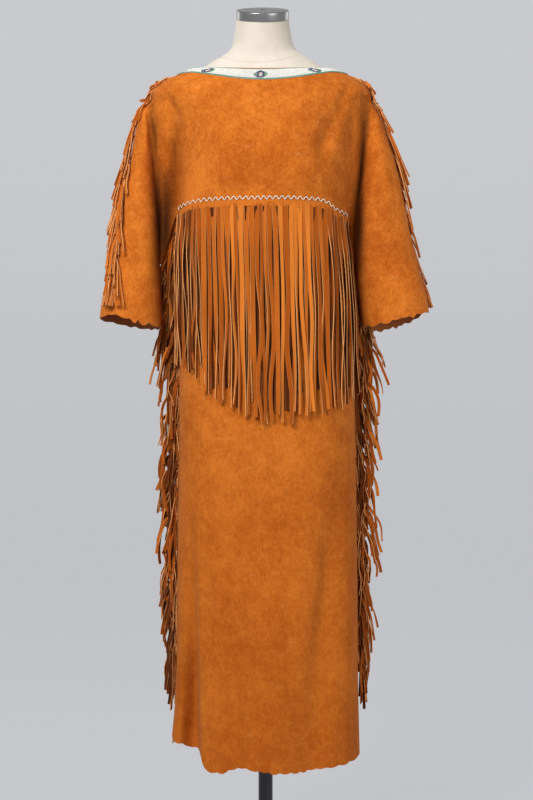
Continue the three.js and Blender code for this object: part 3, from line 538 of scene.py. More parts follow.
def web_row(rows, z, side):
    """A row of a sleeve and its web below the armpit, from the top seam to the underarm seam."""
    section = read(BODY, ARMPIT_Z)
    hand = -1 if rows is SLEEVE_LEFT else 1
    down = (ARMPIT_Z - z) / (ARMPIT_Z - WEB_FOOT)
    off = WEB_CLEAR * ease(down * 11) * (1 - down)
    foot = read(rows, WEB_FOOT)[1] - hand * WEB_END
    x = mix(section[0] if hand < 0 else section[1], foot, down) + hand * off
    joint = np.array([x, web_at(z, side)[1]])
    return np.concatenate([arm_row(rows, z, side, joint, 0), joint[None]])


def sleeve_row(rows, z, side):
    """One half of a sleeve below its web, from its top seam to the underarm seam."""
    sleeve = read(rows, z)
    dense = round_sleeve(sleeve, side * np.linspace(side * sleeve[4], 180, DENSE))
    return divide(dense, ARM_STRIPS, SEAM_TRIM, SEAM_TRIM)


def lift(row, z, rise=0.0):
    return np.column_stack([row, np.full(len(row), float(z)) + rise])


def neck_dip(z, side, x):
    fade = ease((z - 1430) / (NECK_Z - 1430))
    dip = NECK_DIP_FRONT if side > 0 else NECK_DIP_BACK
    return -dip * fade * np.cos(np.pi / 2 * np.minimum(1, np.abs(x + 3) / 130))


def lobes(x, low, high, deep, seed):
    """The small uneven scallops of a hide's natural edge, as heights across it."""
    chance = np.random.default_rng(seed)
    starts = np.concatenate([[-400], -400 + np.cumsum(chance.uniform(low, high, 120))])
    k = np.clip(np.searchsorted(starts, x, side="right") - 1, 0, len(starts) - 2)
    t = (x - starts[k]) / (starts[k + 1] - starts[k])
    return -chance.uniform(0.35, 1.0, 121)[k] * deep * np.sin(np.pi * t) ** 0.75


def cuff_rise(rows, row, z, side):
    sleeve = read(rows, CUFF_Z)
    share = ease((WEB_FOOT - z) / (WEB_FOOT - CUFF_Z))
    inward = np.clip((row[:, 0] - sleeve[0]) / (sleeve[1] - sleeve[0]), 0, 1)
    t = np.linspace(0, 1, len(row))
    drop = 0 if side > 0 else CUFF_BACK * np.sin(np.pi * t)
    edge = ease((WEB_FOOT - 60 - z) / (WEB_FOOT - 60 - CUFF_Z)) * np.sin(np.pi * t) ** 0.3
    seed = (31 if side > 0 else 32) + (10 if rows is SLEEVE_RIGHT else 0)
    return share * (mix(CUFF_OUTER, CUFF_INNER, inward) - drop) + edge * lobes(row[:, 0], 9, 26, 9.0, seed)


# Pieces of leather


class Leather:
    """A cut piece as it hangs: the points of its outer side in millimetres, and the quads between them."""

    def __init__(self, grids):
        points, quads, first = [], [], 0
        for rows, facing in grids:
            n, m = rows.shape[:2]
            index = first + np.arange(n * m).reshape(n, m)
            quad = np.stack([index[:-1, :-1], index[1:, :-1], index[1:, 1:], index[:-1, 1:]], -1)
            quad = quad.reshape(-1, 4)
            quads.append(quad if facing > 0 else quad[:, ::-1])
            points.append(rows.reshape(-1, 3))
            first += n * m
        points, quads = np.concatenate(points), np.concatenate(quads)
        _, keep, where = np.unique(np.round(points, 2), axis=0, return_index=True, return_inverse=True)
        self.points = points[keep]
        self.quads = where.reshape(-1)[quads]
        self.rim = self.edges()
        self.pairs = None

    def edges(self):
        """The edges that only one quad has, in that quad's direction."""
        ways = np.concatenate([self.quads[:, [k, (k + 1) % 4]] for k in range(4)])
        count = len(self.points)
        known = ways[:, 0] * count + ways[:, 1]
        return ways[~np.isin(known, ways[:, 1] * count + ways[:, 0])]

    def own_normals(self):
        a, b, c, d = (self.points[self.quads[:, k]] for k in range(4))
        face = np.cross(c - a, d - b)
        found = np.zeros_like(self.points)
        for k in range(4):
            np.add.at(found, self.quads[:, k], face)
        return found / np.linalg.norm(found, axis=1, keepdims=True)

    def crease(self, rows, depth):
        """Presses soft troughs and ridges in, fading towards the seams."""
        x, z = self.points[:, 0], self.points[:, 2]
        push = np.zeros(len(self.points))
        for x0, z0, x1, z1, bow, deep, width in rows:
            along, across = np.array([x1 - x0, z1 - z0], float), np.array([z0 - z1, x1 - x0], float)
            long = np.hypot(*along)
            t = ((x - x0) * along[0] + (z - z0) * along[1]) / long**2
            off = ((x - x0) * across[0] + (z - z0) * across[1]) / long
            off = off - bow * np.sin(np.pi * np.clip(t, 0, 1))
            ends = np.sin(np.pi * np.clip(t, 0, 1)) ** 0.8
            wide = width * mix(0.7, 1.35, np.clip(t, 0, 1))
            push += deep * ends * (1 - 0.8 * (off / wide) ** 2) * np.exp(-((off / wide) ** 2))
        tree = KDTree(len(self.pairs[0]))
        for i, k in enumerate(self.pairs[0]):
            tree.insert(self.points[k], i)
        tree.balance()
        far = np.array([tree.find(p)[2] for p in self.points])
        self.points -= self.own_normals() * (push * depth * ease(far / 24))[:, None]


def painted_fold_shade(points):
    """How dark the shade painted into the folds beside the arms is at each point."""
    x, z = points[:, 0], points[:, 2]
    found = np.zeros(len(points))
    for x0, z0, x1, z1, bow, dark, width in PAINTED_FOLD_SHADE_LINES:
        along = np.array([x1 - x0, z1 - z0], float)
        long = np.hypot(*along)
        t = np.clip(((x - x0) * along[0] + (z - z0) * along[1]) / long**2, 0, 1)
        off = ((z - z0) * along[0] - (x - x0) * along[1]) / long - bow * np.sin(np.pi * t)
        found = np.maximum(found, dark * np.sin(np.pi * t) ** 0.6 * np.exp(-((off / width) ** 2)))
    return found


def marry(one, other, within=2.2):
    """Finds the points where two pieces meet at seams, and gives each piece those of both."""
    first, second = np.unique(one.rim), np.unique(other.rim)
    apart = np.linalg.norm(one.points[first][:, None] - other.points[second][None], axis=2)
    i, j = np.nonzero(apart < within)
    one.pairs, other.pairs = (first[i], second[j]), (second[j], first[i])


def shared_normals(one, other):
    """The normals of two pieces, turned the same way at the seams between them."""
    mine, theirs = one.own_normals(), other.own_normals()
    here, there = one.pairs
    mine_new, theirs_new = mine.copy(), theirs.copy()
    np.add.at(mine_new, here, theirs[there])
    np.add.at(theirs_new, there, mine[here])
    return [n / np.linalg.norm(n, axis=1, keepdims=True) for n in (mine_new, theirs_new)]


def shell(leather, normals, thick):
    """The closed wall behind a piece's outer side: its points, faces, and the finish of each face."""
    count = len(leather.points)
    points = np.concatenate([leather.points, leather.points - normals * thick])
    a, b = leather.rim.T
    rim = np.stack([a, a + count, b + count, b], 1)
    faces = np.concatenate([leather.quads, leather.quads[:, ::-1] + count, rim])
    kinds = np.repeat([0, 2, 1], [len(leather.quads), len(leather.quads), len(rim)])
    sharp = np.concatenate([leather.rim, leather.rim + count])
    return points, faces, kinds, sharp


def yoke_leather(side):
    rows = []
    for z in YOKE_HEIGHTS:
        row = yoke_row(z, side)
        x = np.clip(row[:, 0], -175, 175)
        share = (NECK_Z - z) / (NECK_Z - ARMPIT_Z)
        seam = share**3 * read(SEAM_FRONT if side > 0 else SEAM_BACK, x)[0]
        rows.append(lift(row, z, neck_dip(z, side, row[:, 0]) + seam))
    grids = [(np.array(rows), side)]
    own = ARM_STRIPS + WEB_STRIPS + 1
    for table, top in [(SLEEVE_LEFT, rows[-1][:own]), (SLEEVE_RIGHT, rows[-1][-own:][::-1])]:
        facing = side if table is SLEEVE_LEFT else -side
        drop = top[0, 2] - ARMPIT_Z
        webs = [top]
        for z in WEB_HEIGHTS[1:]:
            left = drop * (1 - ease((ARMPIT_Z - z) / (ARMPIT_Z - WEB_FOOT)))
            webs.append(lift(web_row(table, z, side), z, left))
        tube = [webs[-1][: ARM_STRIPS + 1]]
        for z in SLEEVE_HEIGHTS[1:]:
            row = sleeve_row(table, z, side)
            tube.append(lift(row, z, cuff_rise(table, row, z, side)))
        grids += [(np.array(webs), facing), (np.array(tube), facing)]
    return Leather(grids)


def skirt_rows(side):
    rows = []
    for z in SKIRT_HEIGHTS:
        row = body_arc(z, side, 0, 180, BODY_STRIPS, SEAM_TRIM)
        x = row[:, 0]
        down = (ARMPIT_Z - z) / (ARMPIT_Z - HEM_Z)
        trim = (2 * SEAM_TRIM + 3 * ease((np.abs(x) - 140) / 18)) if z == ARMPIT_Z else 0
        at_top = (1 - down) ** 3 * read(SEAM_FRONT if side > 0 else SEAM_BACK, x)[0] - trim
        at_hem = down**4 * read(HEM_FRONT if side > 0 else HEM_BACK, x)[0]
        edge = ease((down - 0.955) / 0.045) * lobes(x, 12, 27, 5.0, 21 if side > 0 else 22)
        rows.append(lift(row, z, at_top + at_hem + edge))
    return np.array(rows)


class Surface:
    """A stretch of leather read anywhere: rows of points that go down, each running across."""

    def __init__(self, grid, downs, acrosses, facing):
        self.grid, self.downs, self.acrosses = grid, downs, acrosses
        normal = np.cross(np.gradient(grid, axis=0), np.gradient(grid, axis=1)) * facing
        self.normals = normal / np.linalg.norm(normal, axis=-1, keepdims=True)

    def spot(self, down, across, away=0.0):
        """Points at some distance off the leather, and the normals there."""
        i = np.interp(down, self.downs, np.arange(len(self.downs)))
        j = np.interp(across, self.acrosses, np.arange(len(self.acrosses)))
        k = np.minimum(i.astype(int), len(self.downs) - 2)
        m = np.minimum(j.astype(int), len(self.acrosses) - 2)
        u, v = (i - k)[..., None], (j - m)[..., None]
        found = []
        for values in (self.grid, self.normals):
            upper = mix(values[k, m], values[k, m + 1], v)
            found.append(mix(upper, mix(values[k + 1, m], values[k + 1, m + 1], v), u))
        return found[0] + found[1] * np.asarray(away)[..., None], found[1]


# Fringe


class Fringe:
    """Flat strands and their strips, gathered into one mesh. Kind 0 is the nap, kind 1 a cut edge."""

    def __init__(self):
        self.points, self.faces, self.kinds, self.tones, self.rims = [], [], [], [], []
        self.count = 0

    def put(self, points, faces, kind, tone_and_shade, rim):
        self.points.append(points)
        self.faces.append(np.asarray(faces) + self.count)
        self.kinds.append(np.full(len(faces), kind))
        self.tones.append(np.broadcast_to(tone_and_shade, len(points)))
        self.rims.append(np.broadcast_to(rim, len(points)))
        self.count += len(points)

    def ladder(self, sides, kind, tone_and_shade, rim):
        """A strip of quads between lines of points: sides is (lines, steps, 3)."""
        n, m = sides.shape[:2]
        index = np.arange(n * m).reshape(n, m)
        quads = np.stack([index[:-1, :-1], index[:-1, 1:], index[1:, 1:], index[1:, :-1]], -1)
        self.put(sides.reshape(-1, 3), quads.reshape(-1, 4), kind, tone_and_shade, np.repeat(rim, m))

    def strand(self, line, normal, width, thick, turn, tone_and_shade, cup=0.0):
        """A strand along a line: its width, its turn about its own length and how far it is cupped."""
        way = np.gradient(line, axis=0)
        way /= np.linalg.norm(way, axis=1, keepdims=True)
        normal = normal - way * (normal * way).sum(1, keepdims=True)
        normal /= np.linalg.norm(normal, axis=1, keepdims=True)
        over = np.cross(way, normal)
        c, s = np.cos(turn)[:, None], np.sin(turn)[:, None]
        over, normal = over * c + normal * s, normal * c - over * s
        half, deep = (over * (np.asarray(width) / 2)[:, None]), normal * thick / 2
        bulge = normal * np.asarray(cup * np.ones(len(line)))[:, None]
        front = np.stack([line - half + deep, line + deep + bulge, line + half + deep])
        back = np.stack([line + half - deep, line - deep + bulge, line - half - deep])
        self.ladder(front[::-1], 0, tone_and_shade, [1, 0, 1])
        self.ladder(back[::-1], 0, tone_and_shade - 0.3, [1, 0, 1])
        self.ladder(np.stack([front[0], back[2]]), 1, tone_and_shade, [1, 1])
        self.ladder(np.stack([back[0], front[2]]), 1, tone_and_shade, [1, 1])
        tip = np.concatenate([front[:, -1], back[:, -1]])
        self.put(tip, [[0, 1, 4, 5], [1, 2, 3, 4]], 1, tone_and_shade, 1)
        root = np.concatenate([front[:, 0], back[:, 0]])
        self.put(root, [[5, 4, 1, 0], [4, 3, 2, 1]], 1, tone_and_shade, 1)

    def strip(self, rows, normals, thick, tone_and_shade):
        """The uncut heading that the strands hang from: rows is (down, across, 3)."""
        outer, inner = rows + normals * thick / 2, rows - normals * thick / 2
        self.ladder(outer, 0, tone_and_shade, np.zeros(len(rows)))
        self.ladder(inner[::-1], 0, tone_and_shade - 0.3, np.zeros(len(rows)))
        self.ladder(np.stack([inner[0], outer[0]]), 1, tone_and_shade, [1, 1])
        self.ladder(np.stack([outer[-1], inner[-1]]), 1, tone_and_shade, [1, 1])

    def build(self, name, node):
        piece = make(
            name,
            np.concatenate(self.points),
            np.concatenate(self.faces),
            [finish("strands"), finish("cut_edge")],
            kinds=np.concatenate(self.kinds),
            values={"tone_and_shade": np.concatenate(self.tones), "rim": np.concatenate(self.rims)},
        )
        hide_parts(node)
        return piece


def skirt_surface(side):
    return Surface(skirt_rows(side), ARMPIT_Z - SKIRT_HEIGHTS, np.linspace(0, 1, BODY_STRIPS + 1), side)


def yoke_fringe(sizes):
    front = skirt_surface(1)
    chance = np.random.default_rng(7)
    long = lengths(front.grid[4])[-1]
    first, last = YOKE_FRINGE_INSET / long, 1 - YOKE_FRINGE_INSET / long
    fringe = Fringe()
    head = YOKE_FRINGE_DROP + YOKE_FRINGE_HEAD
    acrosses = np.linspace(first - 6 / long, last + 6 / long, 120)
    downs = (YOKE_FRINGE_DROP, 9, head)
    rows = [front.spot(np.full(120, down), acrosses, np.full(120, 1.9)) for down in downs]
    fringe.strip(np.array([row[0] for row in rows]), np.array([row[1] for row in rows]), 1.6, 0.6)
    t = np.linspace(0, 1, 20)
    for count, layer in [(sizes.yoke_under, 0), (sizes.yoke_strands, 1)]:
        shares = chance.uniform(0.7, 1.3, count)
        edges = np.concatenate([[0], np.cumsum(shares)]) / shares.sum()
        for i in range(count):
            across = mix(first, last, (edges[i] + edges[i + 1]) / 2)
            cell = (edges[i + 1] - edges[i]) * (last - first) * long
            out = abs(2 * across - 1)  # 0 in the middle of the front and 1 at the seams
            wild = ease((out - 0.38) / 0.32)
            root_x = front.spot(np.array([head]), np.array([across]))[0][0, 0]
            low = read(YOKE_FRINGE_LOW, root_x)[0] + chance.normal(0, 5)
            low = low + (0 if layer else chance.uniform(4, 46))
            root = head - chance.uniform(0, 8) * layer
            downs = mix(root, ARMPIT_Z - low, t)
            sway = chance.normal(0, 2.5 + 2.4 * wild)
            sway = sway * np.sin(2 * np.pi * (chance.uniform(0.6, 1.9) * t + chance.uniform()))
            drift = chance.normal(0, 2.2 + 4 * wild) * t**1.7
            over = across + (sway * (0.3 + t) * ease(t * 2) + drift) / long
            stand = (4.4 if layer else 1.6) * ease(t * 4)
            ripple = chance.uniform(0.4, 1.8)
            ripple = ripple * np.sin(2 * np.pi * (chance.uniform(0.8, 1.8) * t + chance.uniform()))
            laid = 1.9 if layer else 0.95
            lift_off = laid + stand + ripple * ease(t * 3) + chance.uniform(0, 4.5) * layer * t
            line, normal = front.spot(downs, over, lift_off)
            lean = chance.normal(0, 0.5 + 0.5 * wild)
            tip = chance.choice([0, 1, 1]) * chance.choice([-1, 1]) * chance.uniform(0.4, 1.5)
            turn = lean * ease(t * (2 + wild)) + tip * t**2
            turn = turn + 0.3 * np.sin(2 * np.pi * (1.4 * t + chance.uniform()))
            slim = chance.uniform(0.72, 0.96) * (1 - 0.16 * wild) * mix(1, chance.uniform(0.74, 0.95), t)
            width = cell * mix(1.04, slim, ease((t - 0.02) * 5))  # at the root the strands still touch
            # painted shade: the under layer and the strands towards the seams are darkened where they hang
            # in shade; the rest is random tone
            tone_and_shade = (0.52 if layer else -0.95) - 1.0 * wild + chance.normal(0, 0.3)
            fringe.strand(line, normal, width, 1.6, turn, tone_and_shade, chance.normal(0, 0.5))
    return fringe.build("yoke_fringe_strands", "yoke_fringe")


def beside_sleeve(z):
    """How far a side fringe may reach out before it meets the web, the sleeve or, lower down, nothing."""
    under_web = (ARMPIT_Z - z) * 0.34 - 2
    return np.maximum(3.5, np.minimum(under_web, 38 + 0.9 * np.maximum(0, SIDE_FRINGE_FREE - z)))


def side_fringe(sizes, hand):
    chance = np.random.default_rng(17 + hand)
    top, foot, count = SIDE_FRINGE_TOP[hand], SIDE_FRINGE_FOOT, sizes.side_strands
    fringe = Fringe()

    def lane(z, r, lean):
        edge = read(BODY, z)[0 if hand < 0 else 1]
        return np.stack([edge + hand * r * np.cos(lean), SEAM_Y + r * np.sin(lean), z + 0 * r], -1)

    heights = np.linspace(top + 3, foot - 3, 140)
    lean = np.radians(76)
    facing = np.array([hand * np.sin(lean), -np.cos(lean), 0])
    rows = np.array([lane(heights, np.full(140, r), lean) for r in (0.2, 4.5, 8.4)])
    # the heading gets a dark tone, painted shade for where it lies behind the front panel's edge
    fringe.strip(rows[::-1] if hand > 0 else rows, np.broadcast_to(facing, rows.shape), 1.6, -0.3)
    t = np.linspace(0, 1, 13)
    for i in range(count):
        z = mix(top, foot, (i + chance.uniform(-0.4, 0.4)) / (count - 1))
        z = min(top, max(foot, z))
        lean = np.radians(chance.uniform(2, 78))
        full = mix(0.35, 1, ease((z - foot + 20) / 330))
        bulk = 1 + 0.4 * math.exp(-(((z - SIDE_FRINGE_FREE - 10) / 75) ** 2))  # fuller below the cuffs
        reach = 7.5 + chance.uniform(3, 41) * full * bulk
        long = mix(chance.uniform(100, 132), chance.uniform(68, 116), ease((z - foot) / 120))
        flare = chance.uniform(-12, 13) * full
        wave = chance.uniform(0, 4)
        r = 7.5 + (reach - 7.5) * (1 - np.exp(-2.4 * t)) / 0.91 + flare * t**2.2
        r = r + wave * np.sin(2 * np.pi * (chance.uniform(0.7, 1.8) * t + chance.uniform())) * ease(3 * t)
        drop = z - long * (0.72 * t + 0.28 * t**1.6)
        angle = mix(math.radians(72), lean, ease(t * 2.2))
        angle = np.clip(angle + np.radians(chance.normal(0, 12)) * t, 0.02, 1.5)
        line = lane(drop, np.clip(r, 2.5, beside_sleeve(drop) / np.cos(angle)), angle)
        normal = np.broadcast_to([hand * np.sin(lean), -np.cos(lean), 0], line.shape)
        turn = chance.normal(0, 0.45) + chance.normal(0, 1.0) * t + chance.normal(0, 0.4) * np.sin(5 * t)
        width = chance.uniform(4.2, 7.2) * mix(1, 0.88, t)
        # painted shade: strands leaning back behind the seam are darker and those reaching out lighter, with
        # random tone on top
        tone_and_shade = -0.95 + 0.75 * math.cos(lean) * reach / 30 + chance.normal(0, 0.42)
        fringe.strand(line, normal, width * np.ones(13), 1.6, turn, tone_and_shade, chance.normal(0, 0.5))
    for i in range(sizes.behind_strands):  # behind the sleeve's web, they fill the dark under the arm, with a dark tone of painted shade
        z = chance.uniform(SIDE_FRINGE_FREE + 20, top + 8)
        out, back = chance.uniform(8, 37), chance.uniform(15, 34)
        full, lean = math.hypot(out, back), math.atan2(back, out)
        r = 7.5 + (full - 7.5) * (1 - np.exp(-7 * t)) + 2 * np.sin(2 * np.pi * (t + chance.uniform()))
        line = lane(z - chance.uniform(100, 160) * t, r, lean)
        normal = np.broadcast_to([hand * 0.3, -0.95, 0], line.shape)
        turn = chance.normal(0, 0.5) + chance.normal(0, 0.7) * t
        width = chance.uniform(6, 9) * np.ones(13)
        fringe.strand(line, normal, width, 1.6, turn, chance.normal(-0.35, 0.2))
    name = "left" if hand < 0 else "right"
    return fringe.build(f"side_fringe_{name}_strands", f"side_fringe_{name}")


def sleeve_surface(hand):
    """The outside of a sleeve about its top seam: acrosses under 0 lie in front, and over 0 behind."""
    table = SLEEVE_LEFT if hand < 0 else SLEEVE_RIGHT
    heights = np.linspace(SLEEVE_FRINGE_TOP + 6, CUFF_Z - 14, 150)
    acrosses = np.linspace(-36, 64, 51)
    grid = []
    for z in heights:
        halves = []
        for side in (1, -1):
            if z > ARMPIT_Z:
                row = yoke_row(z, side)
                half = row[:BODY_STRIPS] if hand < 0 else row[-BODY_STRIPS:][::-1]
            elif z > WEB_FOOT:
                half = web_row(table, z, side)
            else:
                half = sleeve_row(table, z, side)
            halves.append(half)
        line = np.concatenate([halves[0][::-1], halves[1]])
        along = lengths(line) - lengths(halves[0])[-1]
        grid.append(lift(np.stack([np.interp(acrosses, along, axis) for axis in line.T], 1), z))
    grid = np.array(grid)
    return Surface(grid, lengths(grid[:, 18]), acrosses, hand)


def sleeve_fringe(sizes, hand):
    chance = np.random.default_rng(41 + hand)
    outside = sleeve_surface(hand)
    fringe = Fringe()
    ends = [-SLEEVE_FRINGE_TOP, -SLEEVE_FRINGE_FOOT]
    start, end = np.interp(ends, -outside.grid[:, 18, 2], outside.downs)
    downs = np.linspace(start - 3, end - 50, 130)
    rows = [outside.spot(downs, np.full(130, across), np.full(130, 1.9)) for across in (-0.5, 4, 8.6)]
    if hand < 0:
        rows = rows[::-1]
    fringe.strip(np.array([row[0] for row in rows]), np.array([row[1] for row in rows]), 1.6, 0.45)
    t = np.linspace(0, 1, 14)
    count = sizes.sleeve_strands
    for i in range(count):
        share = i / (count - 1)
        root = mix(start, end - 54, share) + chance.uniform(-2, 2)
        young = 1 - ease(share / 0.3)  # near the neck the strands are short and curl
        long = min(mix(chance.uniform(80, 128), chance.uniform(13, 28), young), end + 4 - root)
        s = long * t
        across = 8 + (chance.uniform(1, 12) * (1 - np.exp(-6 * t))) + chance.uniform(-9, 8) * t
        across = across + chance.normal(0, 2.0) * np.sin(2 * np.pi * (chance.uniform(0.5, 1.3) * t))
        slope = mix(chance.uniform(0.0, 0.2), chance.uniform(0.3, 1.0), young) * (1 if hand < 0 else 0.6)
        in_front = 0.16 if hand < 0 or share > 0.4 else 0.45
        if chance.uniform() < in_front:  # a few fall in front of the seam
            across = across - chance.uniform(8, 26) * ease(2 * t)
            slope = min(slope, 0.06)
        off = 2.6 + slope * 14 * (1 - np.exp(-s / 14))
        off = off + chance.uniform(0.0, 0.13) * s + chance.uniform(-2, 4) * t**2
        line, normal = outside.spot(root + s * mix(1, 0.86, young), across, off)
        turn = chance.normal(0, 0.4) + chance.normal(0, 0.9) * t + young * chance.normal(0, 0.9) * t
        width = chance.uniform(4.8, 7.4) * mix(1, 0.85, t)
        tone_and_shade = 0.5 + chance.normal(0, 0.22)
        fringe.strand(line, normal, width * np.ones(14), 1.6, turn, tone_and_shade, chance.normal(0, 0.6))
    name = "left" if hand < 0 else "right"
    return fringe.build(f"sleeve_fringe_{name}_strands", f"sleeve_fringe_{name}")


# The bead band


def band_surface(width):
    """The outside of the band: downs run across its width, acrosses right round the neck, from 0 to 1."""
    rings = []
    for z in np.linspace(NECK_Z, NECK_Z - 38, 30):
        rows = [yoke_row(z, side) for side in (1, -1)]
        rows = [lift(row, z, neck_dip(z, side, row[:, 0])) for row, side in zip(rows, (1, -1))]
        rings.append(np.concatenate([rows[0], rows[1][::-1], rows[0][:1]]))
    rings = np.array(rings)
    drops = np.linspace(BAND_DROP, BAND_DROP + width, 20)
    columns = []
    for j in range(rings.shape[1]):
        line = rings[:, j]
        columns.append(np.stack([np.interp(drops, lengths(line), axis) for axis in line.T], 1))
    grid = np.array(columns).transpose(1, 0, 2)
    along = lengths(grid[len(drops) // 2])
    shares = np.linspace(0, along[-1], 700)
    even = np.stack([np.stack([np.interp(shares, along, axis) for axis in row.T], 1) for row in grid])
    return Surface(even, drops - BAND_DROP, shares / along[-1], 1), along[-1]


def bead_band(sizes, colours):
    width, pitch = sizes.band / MM, sizes.bead / MM
    band, around_neck = band_surface(width)
    count, rows = round(around_neck / pitch), round(width / pitch)
    chance = np.random.default_rng(3)

    # the woven backing, which the beads lie on
    downs, acrosses = np.meshgrid(np.linspace(0, width, 9), np.linspace(0, 1, 500), indexing="ij")
    rise = LAY_GAP + 0.5
    grid, _ = band.spot(downs, acrosses, np.full(downs.shape, rise))
    grid[:, -1] = grid[:, 0]
    cloth = Leather([(grid, 1)])
    points, faces, _, sharp = shell(cloth, cloth.own_normals(), 0.45)
    backing = make("neck_band_backing", points, faces, [finish("backing")], sharp=sharp)
    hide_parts("neck_band")

    # the chart: a border bead above and two below, and a flower at each even step from the front's middle
    letters = np.full((rows, count), "w")
    letters[[0, -2, -1]] = "t"
    middle_x = -6
    front = band.spot(np.full(2000, width / 2), np.linspace(0, 0.5, 2000))[0]
    centre = np.linspace(0, 0.5, 2000)[np.argmin(np.abs(front[:, 0] - middle_x))] * count
    flowers = round(around_neck / (sizes.flower_pitch / MM))
    top = (rows - len(FLOWER)) // 2
    for k in range(flowers):
        left = round(centre + k * count / flowers) - len(FLOWER[0]) // 2
        for r, line in enumerate(FLOWER):
            for c, letter in enumerate(line):
                if letter != ".":
                    letters[top + r, (left + c) % count] = letter
    inks = {
        "w": colours.bead_white, "t": colours.bead_teal, "N": colours.bead_navy,
        "g": colours.bead_green, "p": colours.bead_pink, "y": colours.bead_yellow,
    }

    # a bead is a small barrel, of which the outer half shows
    turns, ends = np.radians([-84, -42, 0, 42, 84]), np.array([-0.47, -0.3, 0.3, 0.47])
    swell = np.array([0.62, 1, 1, 0.62])
    shape = np.array([
        [e, 0.485 * w * math.sin(a), 0.47 * w * math.cos(a)] for e, w in zip(ends, swell) for a in turns
    ]) * pitch
    index = np.arange(20).reshape(4, 5)
    quads = np.stack([index[:-1, :-1], index[1:, :-1], index[1:, 1:], index[:-1, 1:]], -1).reshape(-1, 4)
    r, c = np.meshgrid(np.arange(rows), np.arange(count), indexing="ij")
    down, across = ((r + 0.5) * width / rows).ravel(), ((c + 0.5) / count).ravel()
    spots, normals = band.spot(down, across, np.full(down.shape, rise))
    lower, _ = band.spot(np.minimum(down + 0.6, width), across, np.full(down.shape, rise))
    higher, _ = band.spot(np.maximum(down - 0.6, 0), across, np.full(down.shape, rise))
    axis = lower - higher
    axis /= np.linalg.norm(axis, axis=1, keepdims=True)
    over = np.cross(axis, normals)
    gauge = chance.normal(1, 0.035, len(down))[:, None, None]
    points = spots[:, None] + gauge * (
        shape[None, :, 0, None] * axis[:, None]
        + shape[None, :, 1, None] * over[:, None]
        + shape[None, :, 2, None] * normals[:, None]
    )
    faces = (np.arange(len(down))[:, None, None] * 20 + quads[None]).reshape(-1, 4)
    ink = np.array([tuple(inks[letter]) for letter in letters.ravel()])
    ink = np.clip(ink * chance.normal(1, 0.06, len(ink))[:, None], 0, 1)
    ink = np.repeat(np.column_stack([ink, np.ones(len(ink))]), 20, axis=0)
    beads = make(
        "neck_band_beads",
        points.reshape(-1, 3),
        faces,
        [finish("glass_beads")],
        colours={"bead": ink},
    )
    return backing, beads


def lacing(sizes):
    """The zigzag thread over the seam between yoke and skirt, with the holes it passes through, which are
    flat dark discs of painted shade.
    """
    thick, half, tall = sizes.lace / MM, sizes.lace_pitch / MM / 2, sizes.lace_height / MM
    fringe = Fringe()
    for side in (1, -1):
        heights = np.linspace(ARMPIT_Z + 14, ARMPIT_Z - 14, 15)
        table = SEAM_FRONT if side > 0 else SEAM_BACK
        grid = []
        for z in heights:
            row = body_arc(z, side, 0, 180, BODY_STRIPS)
            grid.append(lift(row, z, read(table, row[:, 0])[0]))
        leather = Surface(np.array(grid), heights[0] - heights, np.linspace(0, 1, BODY_STRIPS + 1), side)
        seen = lengths(leather.grid[7] * [1, 0.45, 1])  # at the sides the stitches are longer
        long = seen[-1]
        count = round((long - 20) / half)
        steps = np.arange(count * 6 + 1) / 6
        wave = 2 * np.abs((steps / 2) % 1 - 0.5) * 2 - 1
        wave = np.sign(wave) * (1 - (1 - np.abs(wave)) ** 1.15)
        across = np.interp(10 + (long - 20) * steps / count, seen, leather.acrosses)
        downs = heights[0] - ARMPIT_Z + wave * tall / 2
        sink = 0.35 + thick / 2 + 0.25 * (1 - np.abs(wave) ** 6)
        line, normal = leather.spot(downs, across, sink)
        way = np.gradient(line, axis=0)
        way /= np.linalg.norm(way, axis=1, keepdims=True)
        over = np.cross(way, normal)
        angles = np.radians(np.arange(0, 361, 60))
        rings = [
            line + (over * math.cos(a) + normal * math.sin(a) * 0.8) * thick / 2 for a in angles
        ]
        fringe.ladder(np.array(rings)[::-1], 0, 0.5, np.zeros(7))
        corners = np.arange(0, len(steps), 6)
        # each hole is a flat disc, dark with painted shade
        holes, facing = leather.spot(
            downs[corners] + np.sign(wave[corners]) * 0.7, across[corners], np.full(len(corners), 0.25)
        )
        for hole, out in zip(holes, facing):
            flat = np.cross(out, [0, 0, 1.0])
            up = np.cross(flat, out)
            eighths = np.radians(np.arange(0, 360, 45))
            ring = [hole + 1.15 * (flat * math.cos(a) + up * math.sin(a)) for a in eighths]
            fan = [[8, k, (k + 1) % 8, 8] for k in range(8)]
            fringe.put(np.array([*ring, hole + out * 0.02]), fan, 1, 0, 0)
    faces = [[int(v) for v in dict.fromkeys(face)] for block in fringe.faces for face in block.tolist()]
    return make(
        "yoke_lacing",
        np.concatenate(fringe.points),
        faces,
        [finish("thread"), finish("hole")],
        kinds=np.concatenate(fringe.kinds),
    )


# The form and its stand


def ring_loft(rings):
    """Points and faces of a closed solid through rings of equal count, with flat ends."""
    rings = np.asarray(rings)
    n, m = rings.shape[:2]
    index = np.arange(n * m).reshape(n, m)
    near = np.roll(index, -1, axis=1)
    faces = np.stack([index[:-1], near[:-1], near[1:], index[1:]], -1).reshape(-1, 4).tolist()
    faces += [index[0][::-1].tolist(), index[-1].tolist()]
    sharp = np.concatenate([np.stack([index[k], near[k]], 1) for k in (0, -1)])
    return rings.reshape(-1, 3), faces, sharp


def turned(profile, sides=72):
    """Rings of a turned piece about the Z axis, from radii and heights."""
    angle = np.linspace(0, 2 * np.pi, sides, endpoint=False)
    return [
        np.stack([r * np.cos(angle), r * np.sin(angle), np.full(sides, float(z))], -1)
        for r, z in profile
    ]


def rounded(radius, height, soft, upward=True, steps=5):
    """The points of a rounded rim on a turned piece."""
    angle = np.radians(np.linspace(0, 90, steps))
    turn = 1 if upward else -1
    points = [(radius - soft + soft * math.cos(a), height - turn * soft * (1 - math.sin(a))) for a in angle]
    return points if upward else points[::-1]


